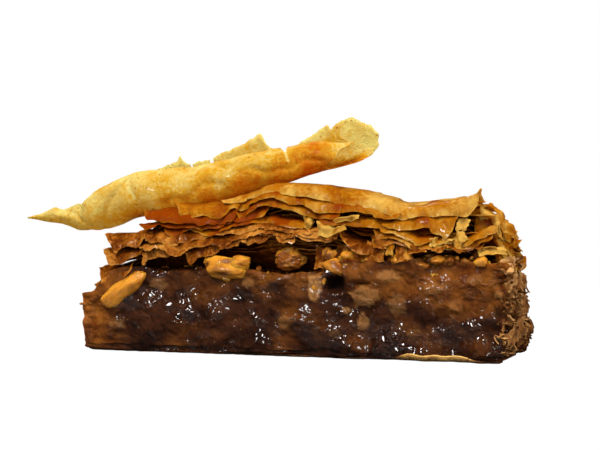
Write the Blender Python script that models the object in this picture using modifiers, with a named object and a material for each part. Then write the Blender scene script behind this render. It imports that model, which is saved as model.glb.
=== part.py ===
"""A cut piece of baklava with a loose curled pastry leaf lying on top.

From the underside up it is a soaked bottom pastry, a dark nut filling, soft pastry
leaves, a domed stack of crisp leaves, and the loose leaf, which has rolled itself into
an open scroll. Four large bits of nut sit in the filling's long cut side.

X runs along the long cut side, Y across the piece and Z up. The side with the nuts
faces -Y. The origin is the middle of the flat underside. Sizes below are in
millimetres, and MM turns them into Blender's metres.
"""

import math

import bmesh
import bpy
from mathutils import Euler, Vector, noise

MM = 0.001

# The whole piece
WIDTH = 30.0
FRONT = -WIDTH / 2
GAP = 0.35  # left free wherever two pieces rest on each other

# Soaked bottom pastry
BASE_ENDS = (-37.6, 37.2)
BASE_THICKNESS = 2.3
BASE_LIP = 0.7  # how far the bottom leaves stand out past the filling
BASE_TONGUE = (25.0, 7.0, 1.8)  # where along X they spread furthest, over what length, and by how much

# Nut filling: its ends, how far the right end slants in at the back and at the top, and its height
FILLING_ENDS = (-37.2, 37.8)
FILLING_SLANT = (0.4, 1.9)
FILLING_TOP = (
    (-38, 10.0), (-33, 12.6), (-26, 15.0), (-13, 15.3), (-4, 14.4),
    (4, 14.1), (11, 16.0), (22, 16.3), (38, 15.7),
)
FILLING_LUMPS = 0.8

# Soft leaves: they start further in at the left end, and arch over two hollows
LEAVES_ENDS = (-33.0, 36.2)
SOFT_SLANT = (1.6, 0.6)
CRISP_SLANT = (1.6, 1.6)
SOFT_THICKNESS = ((-34, 3.2), (-24, 4.6), (-10, 3.9), (4, 2.8), (22, 2.5), (38, 2.5))
HOLLOW_HEIGHT = (
    (-31, 0), (-21, 2.7), (-9, 3.6), (2, 4.6), (9, 2.4),
    (14, 0.1), (22, 0.2), (29, 1.8), (33, 1.5), (37, 0),
)
HOLLOW_DEPTH = 11.0  # how far the hollows run in from the cut side

# Crisp leaves: height of the dome along X
CRISP_TOP = (
    (-38, 18.6), (-33, 21.0), (-27, 23.5), (-22, 24.8), (-11, 26.7), (-4, 28.5),
    (3, 29.7), (12, 28.3), (21, 25.8), (28, 26.8), (33.5, 28.2), (36, 25.5), (38, 23.0),
)
CRISP_DROOP = 1.5  # how far the top leaves bend down at the long cut sides
CRISP_CORNER = (27.0, 4.5)  # where along X the back corner of the right end starts to sink, and by how much
CRISP_LEDGE = 0.9  # how far single leaves stand out or fall short

# Loose leaf: a scroll along X, open at the back and on top
LEAF_THICKNESS = 0.55
LEAF_CLEARANCE = 0.55  # left between the roll's underside and the leaves it lies on
LEAF_AXIS_Y = -8.0
LEAF_UNDERSIDE = (
    (-54, 24.3), (-46, 22.6), (-39, 21.9), (-31, 24.0), (-17, 25.7), (-5, 29.1), (6, 32.2), (16, 34.3),
)
LEAF_RADIUS = ((-54, 2.5), (-38, 4.1), (-27, 4.4), (-11, 3.6), (0, 2.9), (12, 1.6), (16, 1.6))
LEAF_FLAP_TOP = (
    (-40, 30.0), (-25, 33.8), (-17, 34.6), (-12.3, 36.1), (-6.4, 38.4), (-4.4, 35.6),
    (0.8, 36.0), (4.5, 38.6), (8.1, 40.0), (10.8, 40.8), (12.4, 39.8), (15, 37.4),
)
LEAF_FLAP = 0.2  # share of the leaf's width that stands up behind the roll
LEAF_ROLL = (180, 472)  # the roll's angles in degrees: 180 is the back, 270 below, 360 the front, 450 on top
LEAF_LEFT_END = (
    (0, -36), (0.2, -40), (0.4, -49), (0.5, -54), (0.6, -49), (0.72, -41), (0.85, -38), (1, -35),
)
LEAF_RIGHT_END = ((0, 13.2), (0.12, 15), (0.3, 14), (0.55, 12.6), (1, 11.6))

# Nuts: middle, half sizes, turn about Y in degrees, bend, and lumpiness
NUTS = {
    "nut_sliver": ((-28.9, -14.3, 10.5), (5.5, 1.5, 1.6), -38, 0.9, 0.10),
    "nut_chunk": ((-10.4, -13.4, 14.2), (4.3, 2.3, 2.3), -4, 0.0, 0.26),
    "nut_glazed": ((1.2, -12.4, 16.5), (2.3, 2.1, 1.8), 0, 0.0, 0.18),
    "nut_crumb": ((10.2, -13.9, 15.0), (2.2, 1.9, 1.9), 20, 0.0, 0.26),
}


def clear_scene():
    for item in list(bpy.data.objects):
        bpy.data.objects.remove(item)


def collection(name):
    made = bpy.data.collections.new(name)
    bpy.context.scene.collection.children.link(made)
    return made


def material(name, colour, roughness):
    made = bpy.data.materials.new(name)
    made.use_nodes = True
    shader = made.node_tree.nodes["Principled BSDF"]
    shader.inputs["Base Color"].default_value = (*colour, 1)
    shader.inputs["Roughness"].default_value = roughness
    shader.inputs["Metallic"].default_value = 0
    made.diffuse_color = (*colour, 1)
    return made


def add_object(name, mesh, finish, group):
    """Turns a bmesh in millimetres into an object in metres."""
    data = bpy.data.meshes.new(name)
    mesh.to_mesh(data)
    mesh.free()
    data.transform(((MM, 0, 0, 0), (0, MM, 0, 0), (0, 0, MM, 0), (0, 0, 0, 1)))
    data.materials.append(finish)
    made = bpy.data.objects.new(name, data)
    group.objects.link(made)
    return made


def line(knots, x):
    """The smooth line through the knots, at x: a cubic with slopes taken from its neighbours."""
    last = len(knots) - 1
    x = min(max(x, knots[0][0]), knots[last][0])
    i = next(k for k in range(last) if x <= knots[k + 1][0])

    def slope(k):
        before, after = knots[max(k - 1, 0)], knots[min(k + 1, last)]
        return (after[1] - before[1]) / (after[0] - before[0])

    (x0, h0), (x1, h1) = knots[i], knots[i + 1]
    step = x1 - x0
    t = (x - x0) / step
    rise = (2 * t**3 - 3 * t**2 + 1) * h0 + (3 * t**2 - 2 * t**3) * h1
    return rise + ((t**3 - 2 * t**2 + t) * slope(i) + (t**3 - t**2) * slope(i + 1)) * step


def rough(x, y, z, size):
    """Smooth unevenness from about -1 to 1, with lumps about size across."""
    return 2 * noise.noise(Vector((x, y, z)) / size)


def inwards(y, depth):
    """1 at either long cut side, falling to 0 at depth in from it."""
    share = min(max((WIDTH / 2 - abs(y)) / depth, 0), 1)
    return 0.5 + 0.5 * math.cos(math.pi * share)


def base_top(x, y):
    return BASE_THICKNESS + 0.15 * rough(x, y, 3, 14)


def filling_top(x, y):
    back = (y / WIDTH) + 0.5
    return line(FILLING_TOP, x * (1 - 0.35 * back)) + 0.35 * rough(x, y, 11, 11)


def soft_bottom(x, y):
    hollow = max(line(HOLLOW_HEIGHT, x if y < 0 else -x), 0)
    return filling_top(x, y) + GAP + hollow * inwards(y, HOLLOW_DEPTH)


def soft_top(x, y):
    return soft_bottom(x, y) + line(SOFT_THICKNESS, x) + 0.3 * rough(x, y, 23, 10)


def under_leaf(x, y):
    """How high the crisp leaves may reach where the loose leaf lies on them."""
    radius = line(LEAF_RADIUS, x)
    across = min(abs(y - LEAF_AXIS_Y) / radius, 1)
    rise = radius * (1 - math.sqrt(1 - across**2))
    return line(LEAF_UNDERSIDE, x) + rise - LEAF_THICKNESS / 2 - LEAF_CLEARANCE


def crisp_top(x, y):
    start, most = CRISP_CORNER
    droop = CRISP_DROOP * abs(y / FRONT) ** 5
    corner = most * max(x - start, 0) / (LEAVES_ENDS[1] - start) * max((y + 9) / 24, 0)
    free = line(CRISP_TOP, x) - droop - corner + 0.3 * rough(x, y, 37, 10)
    return min(free, under_leaf(x, y))


def filling_side(x, y, level):
    return FILLING_LUMPS * rough(x, y, 9 * level, 6)


def base_side(x, y, level):
    place, length, most = BASE_TONGUE
    tongue = most * math.exp(-(((x - place) / length) ** 2)) if y < 0 else 0
    return BASE_LIP * (0.6 + 0.4 * rough(x, y, 5 + level, 12)) + tongue


def soft_side(x, y, level):
    return 0.8 * rough(x, y, 50 + 20 * level, 5)


def crisp_side(x, y, level):
    return CRISP_LEDGE * rough(x, y, 90 + 60 * level, 8) - 0.4 * (2 * level - 1) ** 2


def slab(name, ends, slant, cells, bottom, top, side, finish, group):
    """A box cut into cells and then shaped. bottom and top give its lower and upper face
    at (x, y), and side says how far its cut sides stand out at (x, y) and a level from 0 to 1.
    slant is how far the right end comes in at the back and at the top."""
    mesh = bmesh.new()
    bmesh.ops.create_cube(mesh, size=2)
    for axis, count in enumerate(cells):
        normal = Vector([axis == k for k in range(3)])
        for i in range(1, count):
            everything = mesh.verts[:] + mesh.edges[:] + mesh.faces[:]
            place = normal * (2 * i / count - 1)
            bmesh.ops.bisect_plane(mesh, geom=everything, plane_co=place, plane_no=normal)
    middle_x, half_x = (ends[1] + ends[0]) / 2, (ends[1] - ends[0]) / 2
    for vertex in mesh.verts:
        u, v, w = vertex.co
        level = (w + 1) / 2
        x = middle_x + half_x * u
        y = WIDTH / 2 * v
        push = side(x, y, level)
        back = (v + 1) / 2
        x -= (slant[0] * back + slant[1] * level * (0.3 + 0.7 * back)) * max(u, 0) ** 3
        x += push * u**5
        y += push * v**5
        vertex.co = (x, y, (1 - level) * bottom(x, y) + level * top(x, y))
    return add_object(name, mesh, finish, group)


def nut_mesh(name, grow):
    """A lump of nut: a ball drawn out to its half sizes, bent, made uneven and turned."""
    middle, halves, turn, bend, lumps = NUTS[name]
    seed = 10 * list(NUTS).index(name)
    mesh = bmesh.new()
    bmesh.ops.create_icosphere(mesh, subdivisions=2, radius=1)
    tilt = Euler((0, math.radians(turn), 0)).to_matrix()
    for vertex in mesh.verts:
        way = vertex.co.copy()
        size = 1 + lumps * rough(way.x, way.y, way.z + seed, 0.9)
        point = Vector([w * (half * size + grow) for w, half in zip(way, halves)])
        point.z += bend * (way.x**2 - 0.5)
        vertex.co = Vector(middle) + tilt @ point
    return mesh


def nuts_and_sockets(holders, finish, group, cutters):
    """Adds the nuts, and cuts a socket for each into the layers that hold it."""
    for name in NUTS:
        add_object(name, nut_mesh(name, 0), finish, group)
        cutter = add_object(name + "_socket", nut_mesh(name, GAP), finish, cutters)
        cutter.hide_render = True
        cutter.display_type = "WIRE"
        for holder in holders:
            cut = holder.modifiers.new(cutter.name, "BOOLEAN")
            cut.operation = "DIFFERENCE"
            cut.object = cutter


def leaf_point(along, around):
    """A point of the loose leaf, along its length and around its roll, both from 0 to 1."""
    left, right = line(LEAF_LEFT_END, around), line(LEAF_RIGHT_END, around)
    x = left + (right - left) * along
    radius = line(LEAF_RADIUS, x)
    middle_z = line(LEAF_UNDERSIDE, x) + radius
    if around < LEAF_FLAP:
        down = around / LEAF_FLAP
        y = LEAF_AXIS_Y + radius * (0.7 + 0.3 * math.sin(math.pi / 2 * down))
        z = middle_z + (line(LEAF_FLAP_TOP, x) - middle_z) * (1 - down)
    else:
        turned = (around - LEAF_FLAP) / (1 - LEAF_FLAP)
        angle = math.radians(LEAF_ROLL[0] + (LEAF_ROLL[1] - LEAF_ROLL[0]) * turned)
        tighter = radius * (1 - 0.12 * turned**4)
        y = LEAF_AXIS_Y - tighter * math.cos(angle)
        z = middle_z + tighter * math.sin(angle)
    return Vector((x, y, z + 0.12 * rough(x, y, 70, 4)))


def loose_leaf(cells, finish, group):
    """An open sheet bent along the scroll's form and given its thickness."""
    mesh = bmesh.new()
    bmesh.ops.create_grid(mesh, x_segments=cells[0], y_segments=cells[1], size=1)
    for vertex in mesh.verts:
        vertex.co = leaf_point((vertex.co.x + 1) / 2, (vertex.co.y + 1) / 2)
    made = add_object("loose_leaf", mesh, finish, group)
    wall = made.modifiers.new("thickness", "SOLIDIFY")
    wall.thickness = LEAF_THICKNESS * MM
    wall.offset = 0


def main():
    clear_scene()
    parts, cutters = collection("baklava_piece"), collection("cutters")
    soaked = material("soaked_pastry", (0.16, 0.075, 0.025), 0.3)
    paste = material("nut_paste", (0.075, 0.03, 0.013), 0.22)
    soft = material("soft_pastry", (0.35, 0.17, 0.05), 0.45)
    crisp = material("crisp_pastry", (0.62, 0.27, 0.04), 0.35)
    curled = material("loose_leaf", (0.68, 0.4, 0.1), 0.32)
    nut = material("nut", (0.6, 0.32, 0.09), 0.3)

    slab(
        "base_pastry", BASE_ENDS, (0, 0), (24, 8, 1), lambda x, y: 0.0, base_top, base_side, soaked, parts
    )
    filling = slab(
        "nut_filling", FILLING_ENDS, FILLING_SLANT, (30, 12, 5),
        lambda x, y: base_top(x, y) + GAP, filling_top, filling_side, paste, parts,
    )
    leaves_above = slab(
        "soft_pastry", LEAVES_ENDS, SOFT_SLANT, (30, 12, 2), soft_bottom, soft_top, soft_side, soft, parts
    )
    slab(
        "crisp_pastry", LEAVES_ENDS, CRISP_SLANT, (30, 12, 5),
        lambda x, y: soft_top(x, y) + GAP, crisp_top, crisp_side, crisp, parts,
    )
    nuts_and_sockets((filling, leaves_above), nut, parts, cutters)
    loose_leaf((36, 14), curled, parts)


main()
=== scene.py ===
import math
import random

import bmesh
import bpy
import numpy as np
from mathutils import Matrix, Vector, noise


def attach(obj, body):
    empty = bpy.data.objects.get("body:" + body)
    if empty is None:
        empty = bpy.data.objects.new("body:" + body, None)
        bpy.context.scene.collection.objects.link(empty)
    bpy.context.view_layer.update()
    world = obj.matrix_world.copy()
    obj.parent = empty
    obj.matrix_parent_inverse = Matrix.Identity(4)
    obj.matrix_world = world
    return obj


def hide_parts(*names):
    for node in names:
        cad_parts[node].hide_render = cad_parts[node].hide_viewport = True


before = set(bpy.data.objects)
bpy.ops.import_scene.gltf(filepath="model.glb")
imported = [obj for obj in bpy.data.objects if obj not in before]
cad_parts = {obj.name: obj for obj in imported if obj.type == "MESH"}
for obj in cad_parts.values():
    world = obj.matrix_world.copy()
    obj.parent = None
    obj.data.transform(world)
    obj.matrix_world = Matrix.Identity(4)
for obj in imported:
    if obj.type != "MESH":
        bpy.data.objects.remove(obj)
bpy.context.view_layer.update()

# ---- 1. The soaked bottom pastry ------------------------------------------------------------
# Thin leaves of dough, flat on the plate, soaked dark by syrup. The lowest spreads out past the
# cut at the front right, where its drier lip stays pale.


def ramp(share):
    """The share, held between 0 and 1."""
    return min(max(share, 0), 1)


def rough(x, y, z, size):
    """Smooth unevenness from about -1 to 1, with lumps about size across."""
    return 2 * noise.noise(Vector((x, y, z)) / size)


def spread(start, end, step, margin=1.5):
    """Places from start to end, a step apart, and closer together in the margin at each end."""
    fine = [start + margin * (k / 8) ** 1.6 for k in range(8)]
    count = max(int((end - start - 2 * margin) / step), 1)
    middle = [start + margin + (end - start - 2 * margin) * k / count for k in range(count + 1)]
    return fine + middle + [start + end - place for place in reversed(fine)]


RIM_WIDTH, RIM_THINNESS, RIM_FADE = 0.5, 0.45, 0.28


def sheet_mesh(rows, wall, keep=None):
    """A thin closed leaf below a grid, given as rows of X, Y, Z and toast: its points, faces and
    marks. Cells where keep is False are torn out. It thins to a ragged rim, where edge is 1."""
    rows = np.asarray(rows, float)
    grid, tone = np.ascontiguousarray(rows[..., :3]), rows[..., 3].reshape(-1)
    high, wide = rows.shape[:2]
    keep = np.ones((high - 1, wide - 1), bool) if keep is None else keep
    normal = np.cross(np.gradient(grid, axis=0), np.gradient(grid, axis=1))
    normal /= np.maximum(np.linalg.norm(normal, axis=2, keepdims=True), 1e-9)
    rim = np.full((high, wide), 9.0)
    framed = np.pad(keep, 1)
    rim[~(framed[:-1, :-1] & framed[1:, :-1] & framed[:-1, 1:] & framed[1:, 1:])] = 0
    down = np.linalg.norm(np.diff(grid, axis=0), axis=2)
    over = np.linalg.norm(np.diff(grid, axis=1), axis=2)
    for _ in range(14):
        rim[1:] = np.minimum(rim[1:], rim[:-1] + down)
        rim[:-1] = np.minimum(rim[:-1], rim[1:] + down)
        rim[:, 1:] = np.minimum(rim[:, 1:], rim[:, :-1] + over)
        rim[:, :-1] = np.minimum(rim[:, :-1], rim[:, 1:] + over)
    thin = wall * (RIM_THINNESS + (1 - RIM_THINNESS) * np.minimum(rim / RIM_WIDTH, 1))
    under = grid - normal * thin[..., None]
    most = high * wide
    index = np.arange(most).reshape(high, wide)
    a, b, c, d = index[:-1, :-1], index[1:, :-1], index[1:, 1:], index[:-1, 1:]
    faces = [np.stack([a, b, c, d], -1)[keep], np.stack([d, c, b, a], -1)[keep] + most]
    for (p, q), gone in (
        ((a, b), ~framed[1:-1, :-2]), ((b, c), ~framed[2:, 1:-1]),
        ((c, d), ~framed[1:-1, 2:]), ((d, a), ~framed[:-2, 1:-1]),
    ):
        side = keep & gone
        p, q = p[side], q[side]
        faces.append(np.stack([q, p, p + most, q + most], -1))
    points = np.concatenate([grid.reshape(-1, 3), under.reshape(-1, 3)])
    edge = np.exp(-rim / RIM_FADE).reshape(-1)
    used, renumbered = np.unique(np.concatenate(faces), return_inverse=True)
    marks = {"toast": np.tile(tone, 2)[used], "edge": np.tile(edge, 2)[used]}
    return points[used], renumbered.reshape(-1, 4).tolist(), marks


def add_piece(name, mesh, sharp, node, slot):
    """The mesh as a piece of the root body, standing for a CAD node where one is named."""
    mesh.shade_smooth()
    mesh.set_sharp_from_angle(angle=math.radians(sharp))
    made = bpy.data.objects.new(name, mesh)
    bpy.context.scene.collection.objects.link(made)
    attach(made, "root")
    if node:
        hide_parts(node)
    return made


def add_joined(name, forms, finish, node, slot):
    """One piece from forms, each its points in millimetres, its faces and its marks for each point."""
    faces, count = [], 0
    for points, corners, _ in forms:
        faces += [[corner + count for corner in face] for face in corners]
        count += len(points)
    mesh = bpy.data.meshes.new(name)
    mesh.from_pydata((np.concatenate([form[0] for form in forms]) / 1000).tolist(), [], faces)
    for mark in forms[0][2]:
        layer = mesh.attributes.new(mark, "FLOAT", "POINT")
        values = np.concatenate([form[2][mark] for form in forms])
        layer.data.foreach_set("value", values.astype(np.float32))
    mesh.materials.append(finish)
    return add_piece(name, mesh, sharp=60, node=node, slot=slot)


def tools(tree):
    """Short ways to add nodes to a tree: add, link, arithmetic, colour mixing and noise on Object
    coordinates."""
    add, link = tree.nodes.new, tree.links.new

    def fill(sockets, values):
        for socket, value in zip(sockets, values):
            if isinstance(value, bpy.types.NodeSocket):
                link(value, socket)
            elif value is not None:
                socket.default_value = value

    def sum_of(operation, first, second, third=None, clamp=False):
        node = add("ShaderNodeMath")
        node.operation = operation
        node.use_clamp = clamp
        fill(node.inputs, (first, second, third))
        return node.outputs[0]

    def mixed(kind, factor, first, second):
        node = add("ShaderNodeMix")
        node.data_type = "RGBA"
        node.blend_type = kind
        fill((node.inputs[0], node.inputs[6], node.inputs[7]), (factor, first, second))
        return node.outputs[2]

    def texture(kind, **values):
        node, place = add(kind), add("ShaderNodeTexCoord")
        link(place.outputs["Object"], node.inputs["Vector"])
        fill([node.inputs[name] for name in values], values.values())
        return node

    def grain(scale, detail, distortion):
        node = texture("ShaderNodeTexNoise", Scale=scale, Detail=detail, Distortion=distortion)
        return node.outputs["Fac"]

    return add, link, sum_of, mixed, texture, grain


def shader_group(name, colours, numbers, results):
    """An empty shader group with its input colours and numbers, and its results after Colour."""
    group = bpy.data.node_groups.new(name, "ShaderNodeTree")
    new_socket = group.interface.new_socket
    for socket, value in colours.items():
        new_socket(socket, in_out="INPUT", socket_type="NodeSocketColor").default_value = (*value, 1)
    for socket, value in numbers.items():
        new_socket(socket, in_out="INPUT", socket_type="NodeSocketFloat").default_value = value
    new_socket("Colour", in_out="OUTPUT", socket_type="NodeSocketColor")
    for socket in results:
        new_socket(socket, in_out="OUTPUT", socket_type="NodeSocketFloat")
    return group


def specks(nodes, scale, sharpness, reach, patch_scale, patch_share):
    """A mask of round specks, in the patches where a second noise is high."""
    _, _, sum_of, _, texture, grain = nodes
    spots = texture("ShaderNodeTexVoronoi", Scale=scale)
    near = sum_of("MULTIPLY_ADD", spots.outputs["Distance"], -sharpness, reach, clamp=True)
    return sum_of("MULTIPLY", near, sum_of("GREATER_THAN", grain(patch_scale, 1, 0), patch_share))


def toasted_pastry():
    """Shader group: dough between pale, golden and brown, with uneven toasting, blisters and flecks;
    its rims are paler, partly as thin dough and partly as a painted highlight.
    """
    group = shader_group(
        "toasted pastry",
        {"Pale": (0.7, 0.5, 0.2), "Golden": (0.55, 0.25, 0.05), "Brown": (0.2, 0.07, 0.01)},
        {"Toast": 0.5, "Edge": 0.0, "Rim Pale And Highlight": 0.4, "Patchiness": 0.5, "Flecks": 0.5, "Gloss": 0.3},
        ("Roughness", "Height"),
    )
    nodes = tools(group)
    add, link, sum_of, mixed, texture, grain = nodes
    given, result = add("NodeGroupInput").outputs, add("NodeGroupOutput").inputs
    patches, fibres = grain(150, 3, 0.5), grain(900, 4, 1.2)
    patches = sum_of("SUBTRACT", patches, 0.5)
    uneven = sum_of("MULTIPLY_ADD", sum_of("SUBTRACT", fibres, 0.5), 1.3, patches)
    toast = sum_of("MULTIPLY_ADD", uneven, sum_of("MULTIPLY", given["Patchiness"], 2.4), given["Toast"])
    # The rims are made paler: partly thin dough, partly a painted highlight where they catch the light.
    toast = sum_of("SUBTRACT", toast, sum_of("MULTIPLY", given["Edge"], given["Rim Pale And Highlight"]))
    light = sum_of("MULTIPLY", toast, 2, clamp=True)
    dark = sum_of("MULTIPLY_ADD", toast, 2, -1, clamp=True)
    colour = mixed("MIX", dark, mixed("MIX", light, given["Pale"], given["Golden"]), given["Brown"])
    fleck = sum_of("MULTIPLY", specks(nodes, 780, 5, 1.15, 260, 0.5), given["Flecks"])
    link(mixed("MULTIPLY", fleck, colour, (0.55, 0.3, 0.12, 1)), result["Colour"])
    shine = sum_of("MULTIPLY_ADD", sum_of("SUBTRACT", fibres, 0.5), 0.5, given["Gloss"], clamp=True)
    link(shine, result["Roughness"])
    blisters = texture("ShaderNodeTexVoronoi", Scale=420)
    blisters.feature = "SMOOTH_F1"
    fine = sum_of("MULTIPLY", fibres, 0.9)
    link(sum_of("MULTIPLY_ADD", blisters.outputs["Distance"], -0.5, fine), result["Height"])
    return group


def grouped_material(name, tree, values, marks, strength, depth):
    """A material with a shader group in it, which reads marks and gives colour, roughness and relief."""
    made = bpy.data.materials.new(name)
    made.use_nodes = True
    nodes = tools(made.node_tree)
    add, link = nodes[:2]
    shader = made.node_tree.nodes["Principled BSDF"]
    group, relief = add("ShaderNodeGroup"), add("ShaderNodeBump")
    group.node_tree = tree
    for socket, value in values.items():
        group.inputs[socket].default_value = (*value, 1) if isinstance(value, tuple) else value
    for mark in marks:
        read = add("ShaderNodeAttribute")
        read.attribute_name = mark
        link(read.outputs["Fac"], group.inputs[mark.capitalize()])
    relief.inputs["Strength"].default_value = strength
    relief.inputs["Distance"].default_value = depth
    link(group.outputs["Height"], relief.inputs["Height"])
    link(group.outputs["Colour"], shader.inputs["Base Color"])
    link(group.outputs["Roughness"], shader.inputs["Roughness"])
    link(relief.outputs["Normal"], shader.inputs["Normal"])
    return made, nodes, shader, group, relief


pastry_group = toasted_pastry()


def pastry_material(name, pale, golden, brown, gloss, rim_pale_and_highlight, patchiness, flecks, glow, coat, bump):
    """Dough, clear coated where the syrup or butter lies, part of it letting light through (glow)."""
    made, (add, link, sum_of, _, _, grain), shader, group, relief = grouped_material(
        name, pastry_group,
        {"Pale": pale, "Golden": golden, "Brown": brown, "Gloss": gloss, "Rim Pale And Highlight": rim_pale_and_highlight,
         "Patchiness": patchiness, "Flecks": flecks},
        ("toast", "edge"), bump, 0.0004,
    )
    shader.inputs["Specular IOR Level"].default_value = 0.06
    shader.inputs["Coat Roughness"].default_value = 0.1
    oily = sum_of("MULTIPLY_ADD", grain(300, 2, 0.8), 7, -3.7, clamp=True)
    link(sum_of("MULTIPLY", oily, coat), shader.inputs["Coat Weight"])
    through, share = add("ShaderNodeBsdfTranslucent"), add("ShaderNodeMixShader")
    link(group.outputs["Colour"], through.inputs["Color"])
    link(relief.outputs["Normal"], through.inputs["Normal"])
    share.inputs["Fac"].default_value = glow
    link(shader.outputs["BSDF"], share.inputs[1])
    link(through.outputs["BSDF"], share.inputs[2])
    link(share.outputs["Shader"], made.node_tree.nodes["Material Output"].inputs["Surface"])
    return made


soaked = pastry_material(
    "soaked pastry", (0.55, 0.30, 0.08), (0.13, 0.045, 0.012), (0.035, 0.011, 0.005),
    gloss=0.25, rim_pale_and_highlight=0.1, patchiness=0.35, flecks=0.2, glow=0.05, coat=0.6, bump=0.5,
)
LIP_MIDDLE, LIP_HALF, LIP_REACH = 27.2, 6.3, 2.3


def base_leaf(high):
    """The lowest leaf, tucked in under the cut, but for a pale lip that curls up at the front right."""
    rows = []
    for x in spread(-37.5, 37.4, 0.3):
        lip = math.exp(-(((x - LIP_MIDDLE) / LIP_HALF) ** 4))
        out = LIP_REACH * lip * (1 + 0.2 * rough(x, 1, 1, 3))
        front = -14.2 - out + 0.35 * rough(x, 0, 3, 9) + 0.3 * rough(x, 0, 5, 1.6)
        back = 14.9 + 0.3 * rough(x, 0, 13, 9) + 0.12 * rough(x, 0, 15, 2)
        row = []
        for v in spread(0, 1, 0.03, margin=0.08):
            y = front + (back - front) * v
            inset = 0.8 * rough(y, 0, 23, 6) * max(abs(x) - 35.5, 0) / 2.2
            z = high + 0.05 * rough(x, y, 31, 5)
            z += (1.0 + 0.5 * rough(x, 0, 41, 4)) * lip * math.exp(-(y - front) / 0.7)
            tone = 0.85 - 0.75 * lip * math.exp(-(y - front) / 1.6)
            row.append((x - math.copysign(inset, x), y, z, tone))
        rows.append(row)
    return sheet_mesh(rows, wall=high - 0.02)


add_joined("soaked_bottom_leaf", [base_leaf(high=0.45)], soaked, "base_pastry", "soaked_pastry")

# The leaves above it have sunk together under the filling into one wet layer, dark as the paste.


def wet_paste():
    """Shader group: nut paste in syrup, nearly black to amber, with pale bits of nut set flush
    into it, tiny golden specks painted as glints in the syrup, and a mask of the pools where a film
    of syrup lies smooth."""
    group = shader_group(
        "wet paste",
        {"Dark": (0.02, 0.006, 0.003), "Brown": (0.07, 0.025, 0.01), "Amber": (0.08, 0.02, 0.003),
         "Tan": (0.28, 0.11, 0.025), "Nut": (0.25, 0.11, 0.03)},
        {"Nut_and_shade": 0.5, "Thin": 0.0, "Bit": 0.0, "Wet": 0.0}, ("Roughness", "Film", "Height"),
    )
    nodes = tools(group)
    add, link, sum_of, mixed, _, grain = nodes
    given, result = add("NodeGroupInput").outputs, add("NodeGroupOutput").inputs
    clouds = sum_of("SUBTRACT", grain(420, 4, 1.2), 0.5)
    light = sum_of("MULTIPLY_ADD", clouds, 1.6, given["Nut_and_shade"], clamp=True)
    blotches = sum_of("SUBTRACT", grain(110, 2, 0.4), 0.5)
    thin = sum_of("MULTIPLY_ADD", blotches, 1.3, given["Thin"], clamp=True)
    dark = mixed("MIX", light, given["Dark"], given["Brown"])
    colour = mixed("MIX", thin, dark, mixed("MIX", light, given["Amber"], given["Tan"]))
    fine = grain(1500, 3, 0.7)
    speckled = sum_of("MULTIPLY_ADD", sum_of("SUBTRACT", fine, 0.5), 1.6, 1, clamp=True)
    bit = sum_of("MULTIPLY", speckled, given["Bit"], clamp=True)
    colour = mixed("MIX", bit, colour, given["Nut"])
    # Tiny golden specks: painted glints of light in the syrup.
    golden = sum_of("MULTIPLY", specks(nodes, 800, 9, 1.6, 310, 0.56), 0.35)
    link(mixed("MIX", golden, colour, (0.3, 0.13, 0.04, 1)), result["Colour"])
    pools = sum_of("MULTIPLY_ADD", grain(280, 2, 0.9), 11, -5.6)
    pools = sum_of("ADD", pools, given["Wet"], clamp=True)
    link(sum_of("MULTIPLY", pools, sum_of("MULTIPLY_ADD", thin, -0.75, 1)), result["Film"])
    link(sum_of("MULTIPLY_ADD", pools, -0.55, 0.75), result["Roughness"])
    ripples = sum_of("MULTIPLY", sum_of("MULTIPLY", grain(1200, 1, 1.5), pools), 0.45)
    ripples = sum_of("MULTIPLY_ADD", fine, 0.1, ripples)
    link(sum_of("MULTIPLY_ADD", grain(520, 1, 1.0), 1.1, ripples), result["Height"])
    return group


paste_group = wet_paste()


def paste_material(name, dark, brown, amber, tan):
    """Nut paste, clear coated where the syrup pools, with a little light scattered inside it."""
    made, (_, link, *_), shader, group, _ = grouped_material(
        name, paste_group, {"Dark": dark, "Brown": brown, "Amber": amber, "Tan": tan},
        ("nut_and_shade", "thin", "bit", "wet"), 0.9, 0.0005,
    )
    link(group.outputs["Film"], shader.inputs["Coat Weight"])
    for socket, value in (
        ("Specular IOR Level", 0.12), ("Coat Roughness", 0.07), ("Subsurface Weight", 0.3),
        ("Subsurface Radius", (0.0016, 0.0006, 0.0002)), ("Subsurface Scale", 1),
    ):
        shader.inputs[socket].default_value = value
    return made


# Bits of nut pressed flush into the cut side: middle, half width, half height and how pale each is.
flush_bits = (
    (15.6, 10.3, 2.3, 1.5, 0.46), (12.3, 8.0, 0.75, 0.6, 0.5), (15.0, 6.2, 0.95, 1.3, 0.42),
    (20.8, 8.8, 1.5, 1.6, 0.24), (6.8, 11.6, 1.3, 2.2, 0.62), (1.3, 5.8, 1.2, 1.2, 0.28),
    (19.4, 13.7, 1.9, 0.95, 0.42), (33.4, 13.0, 1.2, 0.8, 0.3), (37.0, 10.8, 0.8, 0.6, 0.5),
    (-30.5, 5.0, 1.4, 0.9, 0.22), (-22.5, 12.0, 1.6, 1.1, 0.3), (26.5, 11.5, 1.6, 0.9, 0.3),
    (30.2, 9.0, 1.1, 0.9, 0.22), (23.5, 4.6, 1.3, 0.8, 0.15), (-5.5, 12.4, 1.2, 0.9, 0.28),
    (10.5, 4.2, 1.0, 0.7, 0.15),
)


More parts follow.
